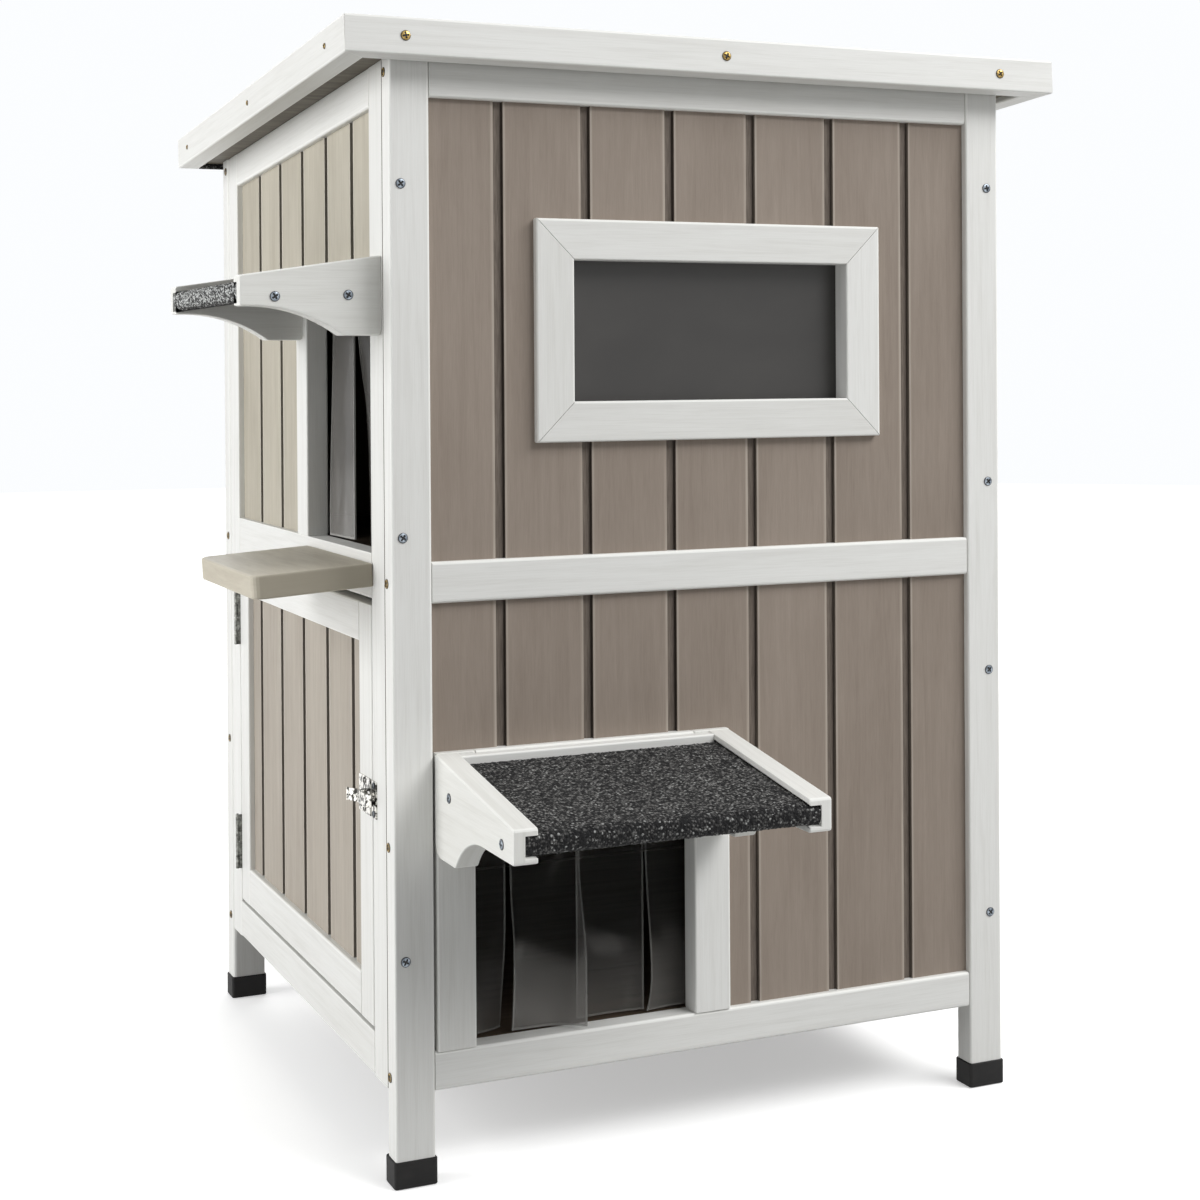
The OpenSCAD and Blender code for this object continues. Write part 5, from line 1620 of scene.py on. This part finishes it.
@dataclass
class Curtains(Assembly):
    """Both curtains with the battens that clamp them."""

    front_axis: float = 287.0
    front_foot: float = 98.5
    side_axis: float = 658.5
    side_foot: float = 467.5
    clamp: float = 12.0
    thick: float = 1.5
    layer_gap: float = 3.2
    splits: tuple[float, float, float, float] = (38.0, 155.5, 213.7, 271.4)
    front_z: tuple[float, float] = (291.5, 318.0)
    side_y: tuple[float, float] = (30.0, 217.5)
    side_z: tuple[float, float] = (663.0, 689.5)

    def battens(self) -> list[Shape]:
        """The front batten in three lengths, its middle stepped back, and the side one."""
        y0 = self.house.leg_t + self.thick
        y1 = y0 + self.clamp
        (low, high), (start, end) = self.front_z, self.side_y
        front = [bar((a, y, low), (b, y1, high), Axis.X, 1.0, 0.3) for a, b, y in
                 zip(self.splits, self.splits[1:], (y0, y0 + self.layer_gap, y0))]
        low, high = self.side_z
        return front + [bar((y0, start, low), (y1, end, high), Axis.Y, 1.0, 0.3)]

    def build(self) -> None:
        """Builds seven strips and the two battens.

        A front strip's row holds its start, bow, far curl, near curl, layer and the strength of
        its painted reflection, and a side strip's its start, bow, far curl and film.
        """
        self.paint("clamp_battens", self.battens(), 71)
        dress(["strip_ends"], self.looks.clamped)
        plain_far, plain_near = (0.0, 0.0, 1.0), (0.0, 0.3, 0.7, 0.3)
        front = [(38.0, -2.0, (-11.0, 0.55, 1.1), plain_near, 0, 0.35),
                 (99.8, 2.0, (19.5, 0.33, 0.75), (7.0, 0.4, 0.68, 0.2), 0, 1.6),
                 (156.0, -2.0, plain_far, plain_near, 1, 0.45),
                 (213.9, -2.0, plain_far, (11.0, 0.3, 0.84, 0.15), 0, 0.75)]
        for k, (start, bow, far, near, layer, haze) in enumerate(front, 1):
            Strip(f"vinyl_front_strip_{k}", f"front_strip_{k}", f"strip_front_{k}", start,
                  self.front_axis, self.front_foot, False, bow, far, near, layer,
                  0.37 * k, haze).build(self.looks.vinyl)
        side = [(160.0, 2.0, (4.0, 0.0, 1.0), 0.3), (92.2, -2.0, (-18.0, 0.0, 1.0), 0.16),
                (30.0, -2.0, plain_far, 0.1)]
        for k, (start, bow, far, film) in enumerate(side, 1):
            Strip(f"vinyl_side_strip_{k}", f"side_strip_{k}", f"strip_side_{k}", start,
                  self.side_axis, self.side_foot, True, bow, far, tone=0.29 * k + 2.0,
                  film=film).build(self.looks.vinyl)


@dataclass
class Roof(Assembly):
    """Fascias round the felted deck that lifts on the back wall."""

    fascia_h: float = 28.0
    fascia_t: float = 20.0
    soft: float = 1.6
    gap: float = 0.2

    def build(self) -> None:
        """Builds the fascias on the slope and finishes felt, deck and battens."""
        h, thick, low = self.house, self.fascia_t, -self.fascia_h
        left, right, length = h.roof_sides()
        front = bar((left, 0.0, low), (right, thick, 0.0), Axis.X, (self.soft, 0.6, 0.8, 2.0),
                    0.3, lambda a, b: left + a, lambda a, b: right - a)
        self.paint("front_fascia", [front], 81, "roof_front_fascia", "roof", h.on_roof)
        sides = [bar((left, 0.0, low), (left + thick, length, 0.0), Axis.Y, self.soft, 0.3,
                     lambda a, b: self.gap + (b - left)),
                 bar((right - thick, 0.0, low), (right, length, 0.0), Axis.Y, self.soft, 0.3,
                     lambda a, b: self.gap + (right - b))]
        self.paint("side_fascias", sides, 82, "roof_side_fascias", "roof", h.on_roof)
        dress(["roof_felt"], self.looks.felt)
        dress(["roof_deck", "roof_battens"], self.looks.aged)


@dataclass
class Fittings(Assembly):
    """Modelled screw heads; the roof's hinges and the latch keep their solid shapes.

    Fields that end in _in count from an end. Those that end in _up count up from the bottom
    and the middle rail, and their last number down from the leg's top.
    """

    head: float = 3.8
    small: float = 2.7
    side: float = 3.7
    sunk: float = 2.3
    height: float = 1.2
    pole: float = 0.03
    rings: int = 15
    turns: int = 48
    face_in: tuple[float, float] = (8.5, 11.0)
    left_up: tuple[float, float, float] = (99.5, 19.0, 95.0)
    right_up: tuple[float, float, float, float] = (77.6, 282.0, 46.5, 82.7)
    side_in: float = 12.5
    side_up: tuple[float, float, float, float] = (11.3, 182.4, 15.3, 11.0)
    latch_z: tuple[float, float] = (268.3, 289.7)
    keeper_y: float = 48.1
    plate_y: float = 71.5
    metal_out: float = 0.2
    fascia_down: float = 14.0
    fascia_in: tuple[float, float] = (46.0, 53.0)
    slope_in: tuple[float, float] = (51.0, 41.0)

    def screw_head(self, spot: Sequence[float], out: Sequence[float], radius: float,
                   turn: float) -> tuple[np.ndarray, np.ndarray, np.ndarray]:
        """A low domed head with a cross recess, closed underneath.

        With r from 0 to 1 and the angle t, its height is height times the square root of
        1 - 0.85 r^2, less a cross: where the smaller of |cos t| r and |sin t| r is under an
        arm's half width and r is under its length, it sinks by two thirds. The last ring
        drops to the wood and the one after it closes to the middle.

        The recess mark, painted shade with some grime, is 1 in the cross and 0.85 round the
        rim. The side and sunk heads are painted dark over their whole middle, and the small
        ones at least half dark all over, as painted shade.

        Args:
            spot: its place on the wood, in the house's millimetres.
            out: the direction it faces.
            radius: its radius.
            turn: how far its cross is turned.

        Returns:
            Points, quads and the recess mark of every point.
        """
        r = np.append(np.linspace(self.pole, 1, self.rings), [1.0, self.pole])
        t = np.linspace(0, 2 * math.pi, self.turns, endpoint=False)
        rr, tt = np.meshgrid(r, t, indexing="ij")
        arm = np.minimum(np.abs(np.cos(tt)), np.abs(np.sin(tt))) * rr
        wide, long = (0.19, 0.7) if radius == self.head else (0.34, 0.74)
        cross = np.clip((wide - arm) / 0.07, 0, 1) * np.clip((long - rr) / 0.1, 0, 1)
        rise = self.height * np.sqrt(1 - 0.85 * rr ** 2) - cross * self.height * 0.66
        rise[-2:] = -0.05
        # Painted shade in the rim, the cross and the darker middles.
        rim = np.clip((rr - 0.8) / 0.12, 0, 1) * 0.85
        middle = np.clip((0.62 - rr) / 0.1, 0, 1) * (radius in (self.side, self.sunk))
        mark = np.maximum(np.maximum(cross, rim), middle)
        mark = np.clip(mark, 0.5 if radius == self.small else 0.0, 1)
        normal = np.asarray(out, float)
        side = np.cross(normal, [0.0, 0.0, 1.0])
        side /= np.linalg.norm(side)
        up = np.cross(side, normal)
        x = radius * rr * np.cos(tt + turn)
        y = radius * rr * np.sin(tt + turn)
        points = np.asarray(spot) + x[..., None] * side + y[..., None] * up + \
            rise[..., None] * normal
        return points.reshape(-1, 3), ring_quads(*rr.shape)[:, ::-1], mark.reshape(-1)

    def heads(self, name: str, screws: Sequence[Screw], material: Look,
              body: str, slot: str, replaced: str) -> None:
        """Builds one piece of several screw heads.

        Args:
            name: the piece's name.
            screws: place, direction and radius of each.
            material: the plating.
            body: the body that they move with.
            slot: not used.
            replaced: the solids that they stand for.
        """
        turns = np.random.default_rng(len(screws)).random(len(screws)) * math.pi / 2
        parts = [self.screw_head(*screw, turn) for screw, turn in zip(screws, turns)]
        starts = np.arange(len(parts)) * len(parts[0][0])
        quads = np.concatenate([p[1] + s for p, s in zip(parts, starts)])
        rim = np.arange(self.turns)
        tops = rim + starts[:, None]
        lids = rim[::-1] + starts[:, None] + (self.rings + 1) * self.turns
        mesh = new_mesh(name, np.concatenate([p[0] for p in parts]),
                        quads.tolist() + tops.tolist() + lids.tolist(), material)
        set_mark(mesh, "recess", np.concatenate([p[2] for p in parts]))
        give(mesh, body, [replaced])

    def leg_faces(self) -> list[Screw]:
        """Screws in the legs' front and back faces.

        Heights run up from the bottom rail's foot and the middle rail's top, and the last
        runs down from the leg's top. The back has the same screws as the front.
        """
        h = self.house
        base, middle, top = h.bottom, h.middle + h.middle_h, float(h.under(0))
        a, b, c = self.left_up
        left = [base + a, middle + b, top - c]
        a, b, c, d = self.right_up
        right = [base + a, base + b, middle + c, top - d]
        near, far = self.face_in
        places = [(near, z) for z in left] + [(h.width - far, z) for z in right]
        return [((x, y, z), out, self.head) for y, out in ((0.0, FRONT), (h.depth, BACK))
                for x, z in places]

    def leg_sides(self) -> list[Screw]:
        """Screws in the legs' left and right sides, in rows over the bottom and middle rail."""
        h = self.house
        a, b, c, d = self.side_up
        return [((x, y, z), out, self.side) for y in (self.side_in, h.depth - self.side_in)
                for z in (h.bottom + a, h.bottom + b, h.middle + c, float(h.under(y)) - d)
                for x, out in ((0.0, LEFT), (h.width, RIGHT))]

    def awning_sides(self) -> list[Screw]:
        """Screws in the awning brackets' outer sides and in the latch's keeper."""
        front, side = make_awnings(self.house)
        return [((x, -d, front.top - drop), out, self.head) for d, drop in front.screws
                for x, out in ((front.low, LEFT), (front.high, RIGHT))] + \
            [((side.wall - d, y, side.top - drop), out, self.head) for d, drop in side.screws
             for y, out in ((side.low, FRONT), (side.high, BACK))] + \
            self.latch_screws(self.keeper_y)

    def latch_screws(self, y: float) -> list[Screw]:
        """The small screws of the latch's plate or keeper, one above the other."""
        return [((-self.metal_out, y, z), LEFT, self.small) for z in self.latch_z]

    def roof_edges(self) -> list[Screw]:
        """Screws in the fascias, on the roof's slope."""
        left, right, length = self.house.roof_sides()
        z = -self.fascia_down
        near, far = self.fascia_in
        made = [((x, 0.0, z), FRONT, self.head)
                for x in (left + near, (left + right) / 2, right - far)]
        near, far = self.slope_in
        made += [((x, y, z), out, self.sunk)
                 for y in (near, (near + length - far) / 2, length - far)
                 for x, out in ((left, LEFT), (right, RIGHT))]
        turn = lambda v: self.house.on_roof(np.array([v, (0, 0, 0)], float))
        return [(tuple(turn(p)[0]), tuple(turn(d)[0] - turn(d)[1]), radius)
                for p, d, radius in made]

    def build(self) -> None:
        """Finishes the metal and builds the screw heads."""
        looks = self.looks
        dress(["roof_hinge_wall_leaves", "roof_hinge_roof_leaves"], looks.steel)
        dress(["latch_base", "latch_lever", "latch_keeper"], looks.nickel)
        self.heads("zinc_screw_heads", self.leg_faces() + self.awning_sides(), looks.zinc,
                   "house", "zinc", "zinc_screws")
        self.heads("brass_screw_heads", self.leg_sides(), looks.brass, "house", "brass",
                   "brass_screws")
        self.heads("roof_screw_heads", self.roof_edges(), looks.brass, "roof", "brass",
                   "roof_screws")
        self.heads("latch_screw_heads", self.latch_screws(self.plate_y), looks.nickel, "door",
                   "nickel", "latch_screws")


def stand(name: str, data: bpy.types.ID, axes: Sequence[np.ndarray],
          spot: Sequence[float]) -> bpy.types.Object:
    """Puts a camera or a lamp into the scene.

    Args:
        name: the object's name.
        data: its camera or light.
        axes: its right, its up and the direction behind it.
        spot: where it stands, in metres.

    Returns:
        The object.
    """
    made = bpy.data.objects.new(name, data)
    turn = np.eye(4)
    turn[:3, :3] = np.column_stack(axes)
    turn[:3, 3] = spot
    made.matrix_world = Matrix(turn.tolist())
    bpy.context.scene.collection.objects.link(made)
    return made


@dataclass(frozen=True)
class Lamp:
    """A flat rectangular lamp; its place, its aim and its two sides are in metres."""

    energy: float
    spot: tuple[float, float, float]
    aim: tuple[float, float, float]
    sides: tuple[float, float]

    def build(self) -> None:
        """Makes the lamp, with its first side level."""
        data = bpy.data.lights.new("area_daylight", "AREA")
        data.energy, data.shape = self.energy, "RECTANGLE"
        data.size, data.size_y = self.sides
        back = np.asarray(self.spot, float) - np.asarray(self.aim, float)
        back /= np.linalg.norm(back)
        side = np.cross([0.0, 0.0, 1.0], back)
        side /= np.linalg.norm(side)
        stand(data.name, data, (side, np.cross(back, side), back), self.spot)


@dataclass
class Studio:
    """Camera, floor and soft daylight."""

    spot: tuple[float, float, float] = (-459.433, -1416.189, 603.653)
    yaw: float = math.radians(23.8779)
    pitch: float = math.radians(-0.28299)
    roll: float = math.radians(-0.36495)
    focal: float = 2011.96752
    centre: tuple[float, float] = (598.81125, 380.57488)
    image: float = 1200.0
    sensor: float = 36.0
    clip: tuple[float, float] = (0.05, 50.0)
    window: Lamp = Lamp(72.0, (-3.0, 0.4, 1.1), (-0.25, 0.05, 0.45), (2.1, 2.1))
    high: Lamp = Lamp(128.0, (2.0, -2.1, 2.8), (0.0, -0.25, 0.45), (3.2, 1.3))
    rear: Lamp = Lamp(60.0, (0.9, 3.2, 1.5), (0.0, 0.25, 0.45), (2.4, 2.4))
    sky: float = 0.3
    sky_colour: Colour = (0.97, 0.985, 1.0)
    floor_r: tuple[float, float] = (0.05, 9.0)
    floor_z: float = -0.0005
    floor_rings: int = 10
    floor_sides: int = 64
    glow: tuple[float, float] = (0.8, 3.6)
    floor_lit: Colour = (0.4, 0.4, 0.395)
    floor_seen: Colour = (0.93, 0.93, 0.925)

    def camera(self) -> None:
        """Sets the camera from yaw, pitch and roll.

        The view runs along (sin yaw cos pitch, cos yaw cos pitch, sin pitch), and roll turns
        the camera's right and up round it.
        """
        a, b, g = self.yaw, self.pitch, self.roll
        forward = np.array([math.sin(a) * math.cos(b), math.cos(a) * math.cos(b), math.sin(b)])
        right = np.array([math.cos(a), -math.sin(a), 0.0])
        up = np.cross(right, forward)
        x = right * math.cos(g) + up * math.sin(g)
        y = up * math.cos(g) - right * math.sin(g)
        data = bpy.data.cameras.new("camera")
        data.sensor_width = self.sensor
        data.lens = self.focal * self.sensor / self.image
        data.shift_x = (self.image / 2 - self.centre[0]) / self.image
        data.shift_y = (self.centre[1] - self.image / 2) / self.image
        data.clip_start, data.clip_end = self.clip
        spot = (np.array(self.spot) - ORIGIN) / 1000
        bpy.context.scene.camera = stand("camera", data, (x, y, -forward), spot)

    def world(self) -> None:
        """An even sky, seen as white by the camera, in gloss and through glass."""
        world = bpy.data.worlds.new("sky")
        bpy.context.scene.world = world
        world.use_nodes = True
        sky = Nodes(world.node_tree)
        ground = sky.tree.nodes["Background"].inputs
        sky.feed(ground["Color"], self.sky_colour)
        sky.feed(ground["Strength"], sky.seen() * (1.0 - self.sky) + self.sky)

    def floor(self) -> None:
        """A wide pale disc that keeps the house's shadow.

        Rings at even steps of radius and angle make the disc. Where it is seen it glows
        more and more from one distance to another, up to white.
        """
        r, t = np.meshgrid(np.linspace(*self.floor_r, self.floor_rings),
                           np.linspace(0, 2 * math.pi, self.floor_sides, endpoint=False),
                           indexing="ij")
        points = np.stack([r * np.cos(t), r * np.sin(t), np.full_like(r, self.floor_z)], -1)
        mesh = bpy.data.meshes.new("floor")
        mesh.from_pydata(points.reshape(-1, 3).tolist(), [],
                         ring_quads(self.floor_rings, self.floor_sides)[:, ::-1].tolist() +
                         [list(range(self.floor_sides))])
        s = Shader("pale_floor")
        seen = s.seen()
        reach = s.node("ShaderNodeVectorMath", {"operation": "LENGTH"}, {0: s.place()}, "Value")
        glow = (reach.band(*self.glow) * 0.5 + 0.4) * seen
        mesh.materials.append(s.finish(
            Base_Color=s.mix(seen, self.floor_lit, self.floor_seen),
            Roughness=0.9, Specular_IOR_Level=0.1, Emission_Strength=1.0,
            Emission_Color=s.mix(glow, (0.0, 0.0, 0.0), (1.0, 1.0, 1.0))))
        made = bpy.data.objects.new("floor", mesh)
        bpy.context.scene.collection.objects.link(made)

    def build(self) -> None:
        """Sets the view, the light and the floor."""
        self.camera()
        for lamp in (self.window, self.high, self.rear):
            lamp.build()
        self.world()
        self.floor()
        bpy.context.scene.view_settings.view_transform = "Standard"


def make_finishes(house: House) -> Finishes:
    """Makes every material from the house's own lines.

    Args:
        house: the shared sizes, which place the boards' grooves.

    Returns:
        The finished materials.
    """
    deep = house.boards_at + house.boards_t
    middle, side, door = (house.width - house.pitch) / 2, 260.0, 265.0
    # Painted light: the left wall's boards are a lighter copy of the stain. Painted shade: the
    # door's boards are a darker copy, with darker grooves.
    painted_sunlit_tones = {"light": rgb("BDB7A8"), "dark": rgb("A29B8C"), "edge": rgb("D5D0C3"),
             "gloom": 0.68}
    painted_shade_tones = {"light": rgb("B2AA9E"), "dark": rgb("978E83"), "edge": rgb("CBC4B8"),
             "gloom": 0.75}

    def boards(name: str, run: Axis, centre: float, far: float = 0.0,
               **tones: object) -> Look:
        """Makes one wall's boards.

        Args:
            name: the material's name.
            run: the axis along which the boards follow one another.
            centre: the middle of one groove on that axis.
            far: a back or right wall's outer plane, or 0 for a front or left wall.
            tones: what differs from the common stain, here the painted light of the left wall and
                the painted shade of the door.

        Returns:
            The finished material.
        """
        through = 1 - run.value
        start, way = (far - deep, -1.0) if far else (deep, 1.0)
        return StainedBoards(name, run, (centre + house.groove / 2 - ORIGIN[run.value]) / 1000,
                             house.pitch / 1000, house.groove / 1000,
                             (start - ORIGIN[through]) / 1000, way, **tones).material()

    return Finishes(
        white=Whitewash().material(),
        rough_white=Whitewash("whitewash_rubbed", rgb("ECECE8"), rgb("D6D5CF")).material(),
        front_boards=boards("front_boards_stain", Axis.X, middle),
        back_boards=boards("back_boards_stain", Axis.X, middle, house.depth),
        left_boards=boards("left_boards_sunlit_stain", Axis.Y, side, **painted_sunlit_tones),
        right_boards=boards("right_boards_stain", Axis.Y, side, house.width),
        door_boards=boards("door_boards_shaded_stain", Axis.Y, door, **painted_shade_tones),
        khaki=Stain("khaki_stain", rgb("BFB8A7"), rgb("AFA797"), (14.0, 120.0, 1.0), True,
                    0.55).material(),
        fir=Stain("dark_fir", rgb("4C4034"), rgb("372E25"), (9.0, 130.0, 130.0)).material(),
        aged=Stain("aged_fir", rgb("6A6355"), rgb("4A443A"), (9.0, 130.0, 130.0)).material(),
        felt=MineralFelt().material(), rubber=Rubber().material(), vinyl=Vinyl().material(),
        clamped=PlainVinyl().material(), pane=PaintedShadePane().material(),
        # Its dark clouds are painted reflections.
        nickel=Metal("nickel_plate", rgb("DAD8D2"), rgb("2F2E2B"), 0.22,
                     tarnish_and_reflection_patches=(0.46, 0.58)).material(),
        steel=Metal("hinge_steel", rgb("8F908B"), rgb("4A4A46"), 0.3).material(),
        zinc=Metal("zinc_plate", rgb("98A0A8"), rgb("555C64"), 0.34).material(),
        brass=Metal("yellow_plate", rgb("B79C62"), rgb("715B31"), 0.32).material())


def main() -> None:
    """Builds the house part by part, then the studio."""
    logging.basicConfig(level=logging.INFO, format="%(name)s: %(message)s")
    house = House()
    looks = make_finishes(house)
    for part in (Carcass, Window, Doorways, SideDoor, Awnings, Landing, Curtains, Roof,
                 Fittings):
        LOG.info("building %s", part.__name__)
        part(house, looks).build()
    Studio().build()


if __name__ == "__main__":
    main()
